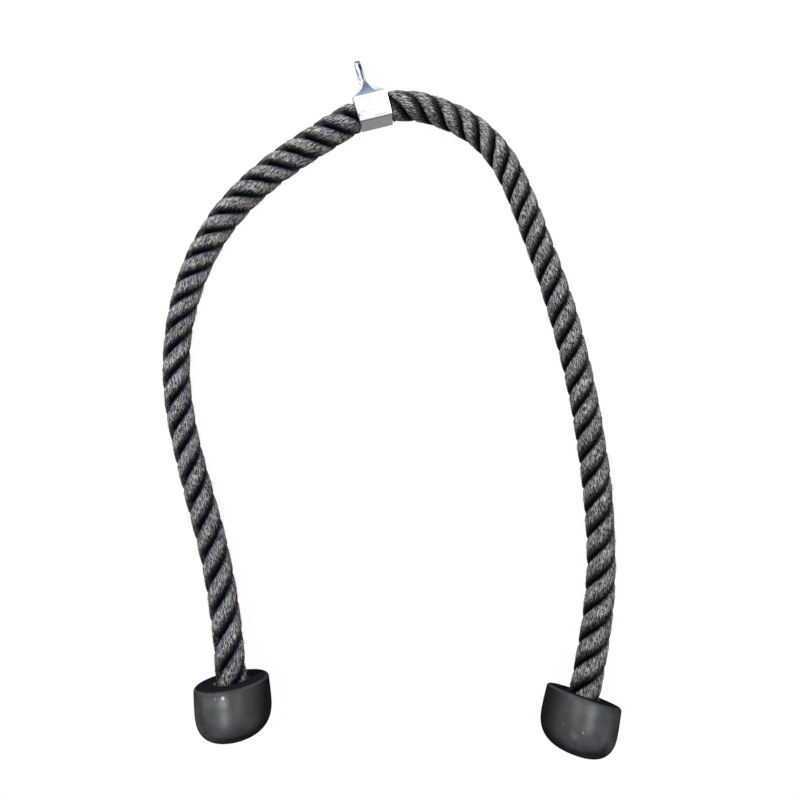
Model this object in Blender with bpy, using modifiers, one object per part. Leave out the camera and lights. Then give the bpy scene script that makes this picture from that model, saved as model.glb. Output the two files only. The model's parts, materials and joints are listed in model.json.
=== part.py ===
"""Triceps rope: a laid rope gripped at its middle by a metal clamp with an eye, a rubber end on each leg.

It lies on a table as the photograph shows it. +X runs along the rope through the clamp, +Y points from
the clamp towards its eye, and +Z is up. The origin is the middle of the clamp's back face, which rests
on the table. Lengths are in metres.
"""
import math

import bmesh
import bpy
import numpy as np
from mathutils import Matrix, Vector

# Rope
ROPE_DIAMETER = 0.026
TABLE_GAP = 0.0002
FIT_GAP = 0.0003
POINT_SPACING = 0.0165
END_STUB = 0.0004
END_STEP = 0.0045
TUBE_RESOLUTION = 4
FLEX_LENGTH = 0.110
SETTLE_LENGTH = 0.045
RISE_LENGTH = 0.130

# Clamp: the sleeve round the rope, and how much it squeezes the rope's height and depth
CLAMP_WIDTH = 0.0295
CLAMP_WALL = 0.0022
HEIGHT_SQUEEZE = 0.0079
DEPTH_SQUEEZE = 0.0024
CLAMP_EDGE_RADIUS = 0.0013
PASSAGE_CORNER_RADIUS = 0.006
MOUTH_FLARE = 0.0011
MOUTH_FLARE_LENGTH = 0.002

# Clamp: the flared neck and the eye that a snap hook goes through
FLARE_HEIGHT = 0.013
FLARE_SHAPE = 1.6
NECK_DEPTH = 0.0225
EYE_HEIGHT = 0.0347
EYE_RADIUS = 0.0128
EYE_THICKNESS = 0.005
EYE_EDGE_RADIUS = 0.0015
EYE_HOLE_DIAMETER = 0.0155
EYE_HOLE_EDGE_RADIUS = 0.0012
EYE_OFFSET = 0.0026
EYE_LEAN_DEG = 3.5
EYE_TIP_DEG = 82.0
EYE_TIP_SHARE = 0.55
HOLE_EDGE_START_DEG = 20.0

# Rubber end
END_LENGTH = 0.046
END_FACE_RADIUS = 0.0317
END_RADIUS = 0.0321
END_BELLY = 0.018
END_RIM_RADIUS = 0.0026
END_DOME_SHAPE = 2.74
BORE_LIP = 0.0012
BORE_LENGTH = 0.020

# What holds the rope inside the rubber end: a washer against the shoulder and a crimped ferrule
WASHER_BAND = 0.0037
WASHER_THICKNESS = 0.002
FERRULE_WALL = 0.0026
FERRULE_LENGTH = 0.013
CRIMP_DEPTH = 0.0007
CRIMP_COUNT = 3
ROPE_TAIL = 0.002
TAIL_CHAMFER = 0.0012

# How each rubber end lies: its axis on the table, and how far its domed end is lifted
LEFT_HEADING_DEG = -5.9
LEFT_PITCH_DEG = 10.7
RIGHT_HEADING_DEG = -31.6
RIGHT_PITCH_DEG = 17.8

# The rope's route on the table, from the clamp's mouth to the face of each rubber end
LEFT_ROUTE = [
    (-0.0300, -0.0036), (-0.0461, -0.0090), (-0.0666, -0.0160), (-0.0852, -0.0230),
    (-0.1048, -0.0317), (-0.1324, -0.0470), (-0.1579, -0.0660), (-0.1800, -0.0890),
    (-0.1984, -0.1147), (-0.2131, -0.1429), (-0.2236, -0.1731), (-0.2297, -0.2042),
    (-0.2323, -0.2360), (-0.2326, -0.2678), (-0.2318, -0.2995), (-0.2310, -0.3312),
    (-0.2308, -0.3627), (-0.2316, -0.3922), (-0.2334, -0.4215), (-0.2366, -0.4541),
]
RIGHT_ROUTE = [
    (0.0300, -0.0022), (0.0461, -0.0083), (0.0636, -0.0195), (0.0799, -0.0337),
    (0.0927, -0.0506), (0.1018, -0.0702), (0.1072, -0.0912), (0.1107, -0.1132),
    (0.1137, -0.1383), (0.1169, -0.1654), (0.1195, -0.1930), (0.1214, -0.2276),
    (0.1218, -0.2625), (0.1207, -0.2970), (0.1182, -0.3315), (0.1145, -0.3659),
    (0.1093, -0.4003), (0.1033, -0.4310), (0.0954, -0.4582), (0.0853, -0.4845),
    (0.0730, -0.5102), (0.0563, -0.5393),
]

# How finely round shapes are cut
TURN_STEPS = 36
CORNER_STEPS = 4
FILLET_STEPS = 4
DOME_STEPS = 12
FLARE_STEPS = 8
DISC_STEPS = 9
SPAN_STEPS = 24
SHARP_EDGE_DEG = 32.0

# Sizes that follow from the ones above
ROPE_RADIUS = ROPE_DIAMETER / 2
ROPE_REST_HEIGHT = ROPE_RADIUS + TABLE_GAP
PASSAGE_HALF_HEIGHT = ROPE_RADIUS - HEIGHT_SQUEEZE / 2
PASSAGE_HALF_DEPTH = ROPE_RADIUS - DEPTH_SQUEEZE / 2
SLEEVE_TOP = PASSAGE_HALF_HEIGHT + CLAMP_WALL
CLAMP_MIDDLE = PASSAGE_HALF_DEPTH + CLAMP_WALL
MOUTH_X = CLAMP_WIDTH / 2
EYE_CENTRE = EYE_HEIGHT - EYE_RADIUS
HOLE_RADIUS = EYE_HOLE_DIAMETER / 2
BORE_RADIUS = ROPE_RADIUS + FIT_GAP
WASHER_RADIUS = BORE_RADIUS + WASHER_BAND
POCKET_RADIUS = WASHER_RADIUS + FIT_GAP
WASHER_TOP = BORE_LENGTH + FIT_GAP
FERRULE_TOP = WASHER_TOP + WASHER_THICKNESS + FIT_GAP
FERRULE_BOTTOM = FERRULE_TOP + FERRULE_LENGTH
TAIL_BOTTOM = FERRULE_BOTTOM + ROPE_TAIL
POCKET_BOTTOM = TAIL_BOTTOM + FIT_GAP


def clear_scene():
    for obj in list(bpy.data.objects):
        bpy.data.objects.remove(obj, do_unlink=True)


def new_collection(name):
    collection = bpy.data.collections.new(name)
    bpy.context.scene.collection.children.link(collection)
    return collection


def add_object(name, data, collection):
    obj = bpy.data.objects.new(name, data)
    collection.objects.link(obj)
    return obj


def give_material(obj, name, colour, roughness, metallic=0.0):
    material = bpy.data.materials.new(name)
    material.use_nodes = True
    shader = material.node_tree.nodes["Principled BSDF"]
    shader.inputs["Base Color"].default_value = (*colour, 1.0)
    shader.inputs["Roughness"].default_value = roughness
    shader.inputs["Metallic"].default_value = metallic
    material.diffuse_color = (*colour, 1.0)
    obj.data.materials.clear()
    obj.data.materials.append(material)


def hang_on(obj, pivot):
    """Parents a piece to the empty on its joint's axis and leaves it where it is."""
    obj.parent = pivot
    obj.matrix_parent_inverse = pivot.matrix_world.inverted()


def smooth_share(share):
    share = min(max(share, 0.0), 1.0)
    return share * share * (3.0 - 2.0 * share)


def rounded_ring(half_a, half_b, corner):
    """A rectangle with round corners, as (a, b) points that run once round it."""
    corner = min(corner, half_a, half_b)
    points = []
    for quarter, (sign_a, sign_b) in enumerate(((1, 1), (-1, 1), (-1, -1), (1, -1))):
        for step in range(CORNER_STEPS + 1):
            angle = math.pi / 2 * (quarter + step / CORNER_STEPS)
            a = sign_a * (half_a - corner) + corner * math.cos(angle)
            b = sign_b * (half_b - corner) + corner * math.sin(angle)
            points.append((a, b))
    return points


def loft(name, rings, collection):
    """A closed body through rings of equal count, with a flat face on the first and the last."""
    bm = bmesh.new()
    loops = [[bm.verts.new(point) for point in ring] for ring in rings]
    count = len(rings[0])
    for low, high in zip(loops, loops[1:]):
        for i in range(count):
            j = (i + 1) % count
            bm.faces.new((low[i], low[j], high[j], high[i]))
    bm.faces.new(loops[0])
    bm.faces.new(loops[-1])
    bmesh.ops.recalc_face_normals(bm, faces=bm.faces)
    mesh = bpy.data.meshes.new(name)
    bm.to_mesh(mesh)
    bm.free()
    return add_object(name, mesh, collection)


def turned(name, profile, collection, steps=TURN_STEPS):
    """A profile of (radius, height) points, from top to bottom on the outer side, turned about Z."""
    closed = profile[0] == profile[-1]
    points = profile[:-1] if closed else profile
    edges = [(i, i + 1) for i in range(len(points) - 1)]
    if closed:
        edges.append((len(points) - 1, 0))
    mesh = bpy.data.meshes.new(name)
    mesh.from_pydata([(r, 0.0, z) for r, z in points], edges, [])
    obj = add_object(name, mesh, collection)
    screw = obj.modifiers.new("Turn", "SCREW")
    screw.axis = "Z"
    screw.angle = math.tau
    screw.steps = steps
    screw.render_steps = steps
    screw.use_merge_vertices = True
    screw.merge_threshold = FIT_GAP / 100
    screw.use_smooth_shade = True
    return obj


def cut(obj, cutter):
    cutter.hide_render = True
    cutter.display_type = "WIRE"
    boolean = obj.modifiers.new("Cut " + cutter.name, "BOOLEAN")
    boolean.operation = "DIFFERENCE"
    boolean.solver = "EXACT"
    boolean.object = cutter


def soften(obj):
    """Smooth shading with the crisp edges kept."""
    obj.data.shade_smooth()
    obj.data.set_sharp_from_angle(angle=math.radians(SHARP_EDGE_DEG))


def eye_middle(height):
    """How far along X the middle of the neck or eye lies at a height over the sleeve."""
    lean = math.tan(math.radians(EYE_LEAN_DEG)) * height
    return -EYE_OFFSET * smooth_share(height / FLARE_HEIGHT) - lean


def sleeve_sections():
    """(y, x middle, half width, half depth, corner) from the sleeve's lower face to its upper one."""
    sections = []
    for step in range(FILLET_STEPS + 1):
        angle = math.pi / 2 * step / FILLET_STEPS
        inset = CLAMP_EDGE_RADIUS * (1.0 - math.sin(angle))
        y = -SLEEVE_TOP + CLAMP_EDGE_RADIUS * (1.0 - math.cos(angle))
        corner = CLAMP_EDGE_RADIUS * (1.0 + math.sin(angle)) / 2
        sections.append((y, 0.0, MOUTH_X - inset, CLAMP_MIDDLE - inset, corner))
    sections.append((SLEEVE_TOP, 0.0, MOUTH_X, CLAMP_MIDDLE, CLAMP_EDGE_RADIUS))
    return sections


def neck_sections():
    """The trumpet-shaped neck, from the sleeve's full width down to the plate."""
    sections = []
    half_plate = EYE_THICKNESS / 2
    for step in range(1, FLARE_STEPS + 1):
        share = step / FLARE_STEPS
        height = FLARE_HEIGHT * share
        half_width = half_plate + (MOUTH_X - half_plate) * (1.0 - share) ** FLARE_SHAPE
        taper = math.sin(math.pi / 2 * share)
        half_depth = CLAMP_MIDDLE + (NECK_DEPTH / 2 - CLAMP_MIDDLE) * taper
        corner = CLAMP_EDGE_RADIUS + (EYE_EDGE_RADIUS - CLAMP_EDGE_RADIUS) * share
        sections.append((SLEEVE_TOP + height, eye_middle(height), half_width, half_depth, corner))
    return sections


def plate_sections():
    """The flat plate with its round top."""
    sections = []
    half_plate = EYE_THICKNESS / 2
    middle_steps = FLARE_STEPS // 2
    for step in range(1, middle_steps + 1):
        share = step / middle_steps
        height = FLARE_HEIGHT + (EYE_CENTRE - FLARE_HEIGHT) * share
        half_depth = NECK_DEPTH / 2 + (EYE_RADIUS - NECK_DEPTH / 2) * smooth_share(share)
        sections.append((height, half_plate, half_depth))
    for step in range(1, DISC_STEPS + 1):
        angle = math.radians(EYE_TIP_DEG) * step / DISC_STEPS
        height = EYE_CENTRE + EYE_RADIUS * math.sin(angle)
        edge = min((EYE_HEIGHT - height) / EYE_EDGE_RADIUS, 1.0)
        narrow = EYE_EDGE_RADIUS * (1.0 - math.sqrt(edge * (2.0 - edge)))
        sections.append((height, half_plate - narrow, EYE_RADIUS * math.cos(angle)))
    sections.append((EYE_HEIGHT, half_plate - EYE_EDGE_RADIUS, EYE_EDGE_RADIUS * EYE_TIP_SHARE))
    return [(SLEEVE_TOP + h, eye_middle(h), a, b, EYE_EDGE_RADIUS) for h, a, b in sections]


def make_clamp(parts, cutters):
    """Sleeve, neck and eye are one forging: the sleeve is pressed shut on the rope."""
    rings = []
    for y, middle, half_width, half_depth, corner in sleeve_sections() + neck_sections() + plate_sections():
        outline = rounded_ring(half_width, half_depth, corner)
        rings.append([(middle + a, y, CLAMP_MIDDLE + b) for a, b in outline])
    clamp = loft("eye_clamp", rings, parts)
    cut(clamp, make_passage_cutter(cutters))
    cut(clamp, make_eye_hole_cutter(cutters))
    soften(clamp)
    give_material(clamp, "polished_metal", (0.78, 0.79, 0.80), 0.18, 1.0)
    return clamp


def passage_ring(x, growth):
    """The rope's squeezed section at x, grown by the flare of the mouth."""
    outline = rounded_ring(
        PASSAGE_HALF_HEIGHT + growth, PASSAGE_HALF_DEPTH + growth, PASSAGE_CORNER_RADIUS + growth
    )
    return [(x, a, CLAMP_MIDDLE + b) for a, b in outline]


def make_passage_cutter(cutters):
    """The way through the sleeve, with a rounded mouth at each end."""
    half = []
    overrun = MOUTH_FLARE_LENGTH
    half.append((MOUTH_X + overrun, MOUTH_FLARE * 2.0))
    for step in range(FILLET_STEPS + 1):
        share = step / FILLET_STEPS
        half.append((MOUTH_X - MOUTH_FLARE_LENGTH * share, MOUTH_FLARE * (1.0 - share) ** 2))
    rings = [passage_ring(x, growth) for x, growth in half]
    rings += [passage_ring(-x, growth) for x, growth in reversed(half)]
    return loft("cut_passage", rings, cutters)


def make_eye_hole_cutter(cutters):
    """The hole's edges are rounded, so that a snap hook does not wear on them."""
    half_plate = EYE_THICKNESS / 2
    rounding = EYE_HOLE_EDGE_RADIUS
    start = math.radians(HOLE_EDGE_START_DEG)
    side = []
    for step in range(FILLET_STEPS + 1):
        angle = start + (math.pi / 2 - start) * step / FILLET_STEPS
        radius = HOLE_RADIUS + rounding * (1.0 - math.sin(angle))
        side.append((radius, half_plate - rounding * (1.0 - math.cos(angle))))
    first_radius, first_height = side[0]
    lead_in = (first_radius + rounding * math.cos(start), first_height + rounding * math.sin(start))
    side.insert(0, lead_in)
    top = (0.0, lead_in[1])
    profile = [top] + side + [(r, -z) for r, z in reversed(side)] + [(0.0, -top[1])]
    cutter = turned("cut_eye_hole", profile, cutters)
    tilt = Matrix.Rotation(math.radians(EYE_LEAN_DEG), 4, "Z")
    place = Matrix.Translation((eye_middle(EYE_CENTRE), SLEEVE_TOP + EYE_CENTRE, CLAMP_MIDDLE))
    cutter.matrix_world = place @ tilt @ Matrix.Rotation(math.pi / 2, 4, "Y")
    return cutter


def make_gripped_rope(parts):
    """The stretch of rope that the sleeve has squeezed to its own section."""
    rings = [passage_ring(x, -FIT_GAP) for x in (-MOUTH_X, MOUTH_X)]
    rope = loft("rope_in_clamp", rings, parts)
    soften(rope)
    give_material(rope, "rope_in_clamp", (0.035, 0.035, 0.037), 0.9)
    return rope


def axis_of(heading_deg, pitch_deg):
    """The way from a rubber end's face to its dome: the heading turns from -Y, the pitch lifts it."""
    heading = math.radians(heading_deg)
    pitch = math.radians(pitch_deg)
    flat = math.cos(pitch)
    return Vector((math.sin(heading) * flat, -math.cos(heading) * flat, math.sin(pitch)))


def outer_profile():
    """The rubber end's outside as (radius, depth behind the face), from the rim to the dome's tip."""
    points = []
    for step in range(FILLET_STEPS + 1):
        angle = math.pi / 2 * step / FILLET_STEPS
        radius = END_FACE_RADIUS - END_RIM_RADIUS * (1.0 - math.sin(angle))
        points.append((radius, END_RIM_RADIUS * (1.0 - math.cos(angle))))
    for step in range(1, FILLET_STEPS + 1):
        share = step / FILLET_STEPS
        radius = END_FACE_RADIUS + (END_RADIUS - END_FACE_RADIUS) * math.sin(math.pi / 2 * share)
        points.append((radius, END_RIM_RADIUS + (END_BELLY - END_RIM_RADIUS) * share))
    for step in range(1, DOME_STEPS):
        angle = math.pi / 2 * step / DOME_STEPS
        reach = math.sin(angle) ** (2.0 / END_DOME_SHAPE)
        radius = END_RADIUS * math.cos(angle) ** (2.0 / END_DOME_SHAPE)
        points.append((radius, END_BELLY + (END_LENGTH - END_BELLY) * reach))
    return points + [(0.0, END_LENGTH)]


def face_height(pitch_deg):
    """The height of the face's middle when the rubber end lies on the table."""
    pitch = math.radians(pitch_deg)
    return max(radius * math.cos(pitch) - depth * math.sin(pitch) for radius, depth in outer_profile())


def end_frame(middle, axis):
    """Local Z points out of the face towards the rope, local X down, so a corner line rests on the table."""
    up = -axis
    down = Vector((0.0, 0.0, -1.0))
    x_axis = (down - up * down.dot(up)).normalized()
    y_axis = up.cross(x_axis)
    turn = Matrix((x_axis, y_axis, up)).transposed().to_4x4()
    return Matrix.Translation(middle) @ turn


def make_rubber_end(side, frame, parts):
    """A moulded rubber stop: bore for the rope, pocket behind it for the washer and the ferrule."""
    inside = [
        (0.0, POCKET_BOTTOM),
        (POCKET_RADIUS, POCKET_BOTTOM),
        (POCKET_RADIUS, BORE_LENGTH),
        (BORE_RADIUS, BORE_LENGTH),
        (BORE_RADIUS, BORE_LIP),
        (BORE_RADIUS + BORE_LIP, 0.0),
    ]
    profile = [(radius, -depth) for radius, depth in inside + outer_profile()]
    end = turned("rubber_end_" + side, profile, parts)
    end.matrix_world = frame
    give_material(end, "rubber_" + side, (0.045, 0.05, 0.055), 0.42)
    return end


def make_washer(side, frame, parts):
    """The steel washer that bears on the shoulder of the pocket."""
    top = -WASHER_TOP
    bottom = top - WASHER_THICKNESS
    profile = [(WASHER_RADIUS, top), (WASHER_RADIUS, bottom), (BORE_RADIUS, bottom), (BORE_RADIUS, top)]
    washer = turned("washer_" + side, profile + profile[:1], parts)
    washer.matrix_world = frame
    give_material(washer, "zinc_" + side, (0.55, 0.55, 0.53), 0.4, 1.0)
    return washer


def make_ferrule(side, frame, parts):
    """The sleeve crimped on the rope's end, with its crimp grooves."""
    top = -FERRULE_TOP
    outer = BORE_RADIUS + FERRULE_WALL
    profile = [(outer, top)]
    pitch = FERRULE_LENGTH / CRIMP_COUNT
    for crimp in range(CRIMP_COUNT):
        middle = top - pitch * (crimp + 0.5)
        profile.append((outer, middle + pitch / 4))
        profile.append((outer - CRIMP_DEPTH, middle + pitch / 8))
        profile.append((outer - CRIMP_DEPTH, middle - pitch / 8))
        profile.append((outer, middle - pitch / 4))
    profile += [(outer, -FERRULE_BOTTOM), (BORE_RADIUS, -FERRULE_BOTTOM), (BORE_RADIUS, top)]
    ferrule = turned("ferrule_" + side, profile + profile[:1], parts)
    ferrule.matrix_world = frame
    give_material(ferrule, "aluminium_" + side, (0.7, 0.7, 0.71), 0.35, 1.0)
    return ferrule


def make_rope_end(side, frame, parts):
    """The rope's end that the rubber, the washer and the ferrule hold."""
    profile = [
        (0.0, 0.0),
        (ROPE_RADIUS, 0.0),
        (ROPE_RADIUS, -TAIL_BOTTOM + TAIL_CHAMFER),
        (ROPE_RADIUS - TAIL_CHAMFER, -TAIL_BOTTOM),
        (0.0, -TAIL_BOTTOM),
    ]
    rope_end = turned("rope_end_" + side, profile, parts)
    rope_end.matrix_world = frame
    give_material(rope_end, "rope_end_" + side, (0.035, 0.035, 0.037), 0.9)
    return rope_end


def plan_curve(points, start_way, end_way):
    """A smooth curve through points on the table that leaves and arrives along the given ways."""
    plan = [np.array(point) for point in points]
    first_span = np.linalg.norm(plan[1] - plan[0])
    last_span = np.linalg.norm(plan[-1] - plan[-2])
    before = plan[1] - 2.0 * first_span * np.array(start_way)
    after = plan[-2] + 2.0 * last_span * np.array(end_way)
    knots = [before] + plan + [after]
    curve = [plan[0]]
    for a, b, c, d in zip(knots, knots[1:], knots[2:], knots[3:]):
        for step in range(1, SPAN_STEPS + 1):
            t = step / SPAN_STEPS
            curve.append(
                0.5 * (2 * b + (c - a) * t + (2 * a - 5 * b + 4 * c - d) * t**2
                       + (3 * b - a - 3 * c + d) * t**3)
            )
    return np.array(curve)


def raise_route(curve, pitch_deg):
    """Gives the plan its heights: from the clamp's middle to the table, and up into the rubber end."""
    steps = np.linalg.norm(np.diff(curve, axis=0), axis=1)
    along = np.concatenate(([0.0], np.cumsum(steps)))
    top = face_height(pitch_deg)
    slope = math.tan(math.radians(pitch_deg))
    heights = []
    for distance in along:
        settle = (CLAMP_MIDDLE - ROPE_REST_HEIGHT) * (1.0 - smooth_share(distance / SETTLE_LENGTH))
        t = max(0.0, 1.0 - (along[-1] - distance) / RISE_LENGTH)
        rise = (top - ROPE_REST_HEIGHT) * (3 * t**2 - 2 * t**3) + RISE_LENGTH * slope * (t**3 - t**2)
        heights.append(ROPE_REST_HEIGHT + settle + rise)
    return np.column_stack((curve, heights))


def lengths_along(route):
    return np.concatenate(([0.0], np.cumsum(np.linalg.norm(np.diff(route, axis=0), axis=1))))


def point_at(route, distance):
    along = lengths_along(route)
    return Vector([float(np.interp(distance, along, route[:, axis])) for axis in range(3)])


def stretch_points(route, start, end):
    """Points from start to end along the route; the short first and last steps square the end faces."""
    count = max(2, round((end - start) / POINT_SPACING))
    inner = np.linspace(start, end, count + 1)[1:-1]
    first = [start, start + END_STUB, start + END_STEP]
    last = [end - END_STEP, end - END_STUB, end]
    marks = first + list(inner) + last
    return [point_at(route, mark) for mark in marks]


def make_tube(name, points, parts):
    """A plain round rope along points, as a mesh with closed ends."""
    curve = bpy.data.curves.new(name, "CURVE")
    curve.dimensions = "3D"
    curve.bevel_depth = ROPE_RADIUS
    curve.bevel_resolution = TUBE_RESOLUTION
    curve.use_fill_caps = True
    spline = curve.splines.new("POLY")
    spline.points.add(len(points) - 1)
    for place, point in zip(spline.points, points):
        place.co = (*point, 1.0)
    guide = add_object(name + "_guide", curve, parts)
    bpy.context.view_layer.update()
    mesh = bpy.data.meshes.new_from_object(guide.evaluated_get(bpy.context.evaluated_depsgraph_get()))
    bm = bmesh.new()
    bm.from_mesh(mesh)
    bmesh.ops.remove_doubles(bm, verts=bm.verts, dist=FIT_GAP / 100)
    bmesh.ops.recalc_face_normals(bm, faces=bm.faces)
    bm.to_mesh(mesh)
    bm.free()
    mesh.name = name
    tube = add_object(name, mesh, parts)
    tube.matrix_world = guide.matrix_world
    bpy.data.objects.remove(guide, do_unlink=True)
    soften(tube)
    give_material(tube, name, (0.035, 0.035, 0.037), 0.9)
    return tube


def make_pivot(name, place, collection):
    """The empty on a leg's hinge axis, in the middle of the stretch where the rope bends."""
    pivot = add_object(name, None, collection)
    pivot.empty_display_type = "ARROWS"
    pivot.empty_display_size = ROPE_DIAMETER
    pivot.location = place
    bpy.context.view_layer.update()
    return pivot


def make_leg(side, sign, plan, heading_deg, pitch_deg, parts):
    """One leg: the rope from the clamp's mouth to its rubber end, and what holds it in there."""
    axis = axis_of(heading_deg, pitch_deg)
    flat_way = Vector((axis.x, axis.y)).normalized()
    mouth = (sign * (MOUTH_X + FIT_GAP), 0.0)
    curve = plan_curve([mouth] + plan, (float(sign), 0.0), tuple(flat_way))
    route = raise_route(curve, pitch_deg)
    total = float(lengths_along(route)[-1])
    pivot = make_pivot(side + "_leg_pivot", point_at(route, FLEX_LENGTH / 2), parts)
    bend = stretch_points(route, 0.0, FLEX_LENGTH - FIT_GAP)
    leg = stretch_points(route, FLEX_LENGTH, total - FIT_GAP)
    frame = end_frame(Vector(route[-1]), axis)
    pieces = [
        make_tube("rope_bend_" + side, bend, parts),
        make_tube("rope_leg_" + side, leg, parts),
        make_rubber_end(side, frame, parts),
        make_washer(side, frame, parts),
        make_ferrule(side, frame, parts),
        make_rope_end(side, frame, parts),
    ]
    bpy.context.view_layer.update()
    for piece in pieces:
        hang_on(piece, pivot)
    print(side, "leg: free rope", round(total, 4), "pivot", [round(v, 5) for v in pivot.location],
          "face", [round(v, 5) for v in route[-1]], "axis", [round(v, 5) for v in axis])


def main():
    clear_scene()
    parts = new_collection("triceps_rope")
    cutters = new_collection("cutters")
    make_clamp(parts, cutters)
    make_gripped_rope(parts)
    make_leg("left", -1, LEFT_ROUTE, LEFT_HEADING_DEG, LEFT_PITCH_DEG, parts)
    make_leg("right", 1, RIGHT_ROUTE, RIGHT_HEADING_DEG, RIGHT_PITCH_DEG, parts)
    bpy.context.view_layer.update()


main()
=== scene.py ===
"""Looks of the triceps rope: laid rope, metal clamp with its eye, rubber ends, floor, lights, camera."""

import json
import math

import bmesh
import bpy
import numpy as np
from mathutils import Matrix, Vector

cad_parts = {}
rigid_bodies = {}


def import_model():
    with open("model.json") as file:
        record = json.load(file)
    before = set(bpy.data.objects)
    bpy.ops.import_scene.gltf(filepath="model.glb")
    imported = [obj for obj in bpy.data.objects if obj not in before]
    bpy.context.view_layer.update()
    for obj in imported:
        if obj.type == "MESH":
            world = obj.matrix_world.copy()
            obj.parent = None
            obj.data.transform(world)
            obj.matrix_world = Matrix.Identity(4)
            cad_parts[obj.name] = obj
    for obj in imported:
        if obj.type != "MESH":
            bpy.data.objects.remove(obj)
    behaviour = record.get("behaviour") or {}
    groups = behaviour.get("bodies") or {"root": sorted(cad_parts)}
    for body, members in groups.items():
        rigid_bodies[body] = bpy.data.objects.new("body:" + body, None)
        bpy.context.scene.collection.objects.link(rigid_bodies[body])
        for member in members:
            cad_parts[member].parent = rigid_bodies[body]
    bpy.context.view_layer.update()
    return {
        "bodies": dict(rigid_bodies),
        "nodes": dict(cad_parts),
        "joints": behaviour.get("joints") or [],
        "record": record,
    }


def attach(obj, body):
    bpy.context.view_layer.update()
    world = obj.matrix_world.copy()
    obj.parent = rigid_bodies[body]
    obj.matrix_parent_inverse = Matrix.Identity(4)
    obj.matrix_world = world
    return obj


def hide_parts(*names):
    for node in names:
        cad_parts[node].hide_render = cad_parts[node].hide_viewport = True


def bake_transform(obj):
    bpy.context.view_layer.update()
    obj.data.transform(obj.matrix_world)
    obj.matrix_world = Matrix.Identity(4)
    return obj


SEED = 12

# Rope
ROPE_DIAMETER = 0.026
ROPE_RADIUS = ROPE_DIAMETER / 2
TABLE_GAP = 0.0002
FIT_GAP = 0.0003
MEETING_GAP = 0.0002
WAY_SMOOTHING = 3
SETTLE_LENGTH = 0.045
RISE_LENGTH = 0.130
GRIPPED_POINTS = 8
HELD_POINTS = 12
RING_SPACING = 0.0026
MOUTH_RINGS = [-0.0020, -0.0011, -0.0004, 0.0003, 0.0010, 0.0019]
PATH_POINTS = 90

# Rope: the section of one strand, and the yarns that it is a bundle of
STRAND_COUNT = 3
STRAND_CROWN_RADIUS = 0.0122
STRAND_CORNER = 0.0031
STRAND_GAP = 0.00025
STRAND_TIP_INSET = 0.0016
STRAND_TIP_RADIUS = 0.0007
TOUCHING_SHARE = 1.6
DEEP_SHARE = 0.6
CROWN_POINTS = 120
CORNER_POINTS = 60
FLANK_POINTS = 40
YARNS_PER_STRAND = 32
POINTS_PER_YARN = 4
YARN_RELIEF = 0.00022
YARN_SECTION = [-0.62, 0.1, 0.42, 0.1]
YARN_UNEVENNESS = 0.00010
YARN_LOOSENESS = 0.000192
YARN_TWIST_SHARE = 0.97
YARNS_SHOW_FROM = 0.45
YARNS_SHOW_FADE = 0.3
LOOSENESS_SMOOTHING = 1
STRAND_PATTERN_STEP = 3.7

# Rope: how it is squeezed in the clamp and in the rubber end's bore, and the painted sky tint and painted
# groove shade on its sides and the painted shadow by the clamp's mouth
SQUEEZE_START = -0.0008
SQUEEZE_SHAPE = 2.9
SQUEEZE_FILL = 0.985
BORE_FILL = 0.975
BORE_FADE = 0.004
ROPE_LIFT = 0.0003
REST_FADE = 0.06
SKY_TINT_REACH = 0.0070
MOUTH_SHADE = 0.0020
MOUTH_DARKEST = 0.25
GROOVE_LIFT_GAIN = 2.0
GROOVE_LIFT_START = 0.6
INNER_SKY_TINT_LOSS = 0.5

# Rope: the broken fibres that stand off it
HAIR_COUNT = 1500
HAIR_RADIUS = 0.00015
HAIR_ROOT = 0.00015
HAIR_LENGTHS = (0.0016, 0.0045)
HAIR_LIFTS = (0.0004, 0.0019)
HAIR_STRAY = 0.35
HAIR_SAG = 0.35
HAIR_TAPER = 0.8
HAIR_SEED_STEP = 5
HAIR_SIDES = 3
HAIR_CLEARANCE = 0.0007
HAIR_TONE = 0.6
UNSHADED_ENOUGH = 0.45

# Clamp
CLAMP_WIDTH = 0.0295
CLAMP_WALL = 0.0022
HEIGHT_SQUEEZE = 0.0079
DEPTH_SQUEEZE = 0.0024
CLAMP_EDGE_RADIUS = 0.0013
PASSAGE_CORNER_RADIUS = 0.006
MOUTH_FLARE = 0.0011
MOUTH_FLARE_LENGTH = 0.002
FLARE_HEIGHT = 0.013
FLARE_SHAPE = 1.6
NECK_DEPTH = 0.0225
NECK_ROUNDING = 0.0012
NECK_ROUNDING_FADE = 0.25
NECK_CORNER_SHARE = 0.8
PLATE_CORNER_SHARE = 0.9
SLEEVE_SPREAD = 0.0016
EYE_HEIGHT = 0.0347
EYE_RADIUS = 0.0128
EYE_THICKNESS = 0.005
EYE_EDGE_RADIUS = 0.0015
EYE_HOLE_DIAMETER = 0.0155
EYE_HOLE_EDGE_RADIUS = 0.0012
EYE_OFFSET = 0.0026
EYE_LEAN_DEG = 3.5
EYE_TIP_DEG = 82.0
EYE_TIP_SHARE = 0.55
EYE_TIP_ROUNDING = 0.0021
HOLE_EDGE_START_DEG = 20.0

# Clamp: where the painted sky reflection on its neck's front ends on the left and on the right, by the height
# over the sleeve
PAINTED_SKY_LEFT = -0.0040
PAINTED_SKY_FOOT = 0.0105
PAINTED_SKY_FOOT_HEIGHT = 0.011
PAINTED_SKY_FOOT_SHAPE = 1.8
PAINTED_SKY_PLATE_FADE = 0.003
PAINTED_SKY_PLATE_SHIFT = 0.0002
PAINTED_SKY_TIP = 0.0016
PAINTED_SKY_TIP_HEIGHT = 0.029
PAINTED_SKY_TIP_FADE = 0.002
PAINTED_SKY_RIGHT = 0.0060
PAINTED_SKY_RIGHT_SLOPE = -0.82
PAINTED_SKY_RIGHT_BEND = 21.5
PAINTED_SKY_OPEN = 0.010
PAINTED_SKY_OPEN_HEIGHT = 0.0128
PAINTED_SKY_OPEN_FADE = 0.0015
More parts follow.
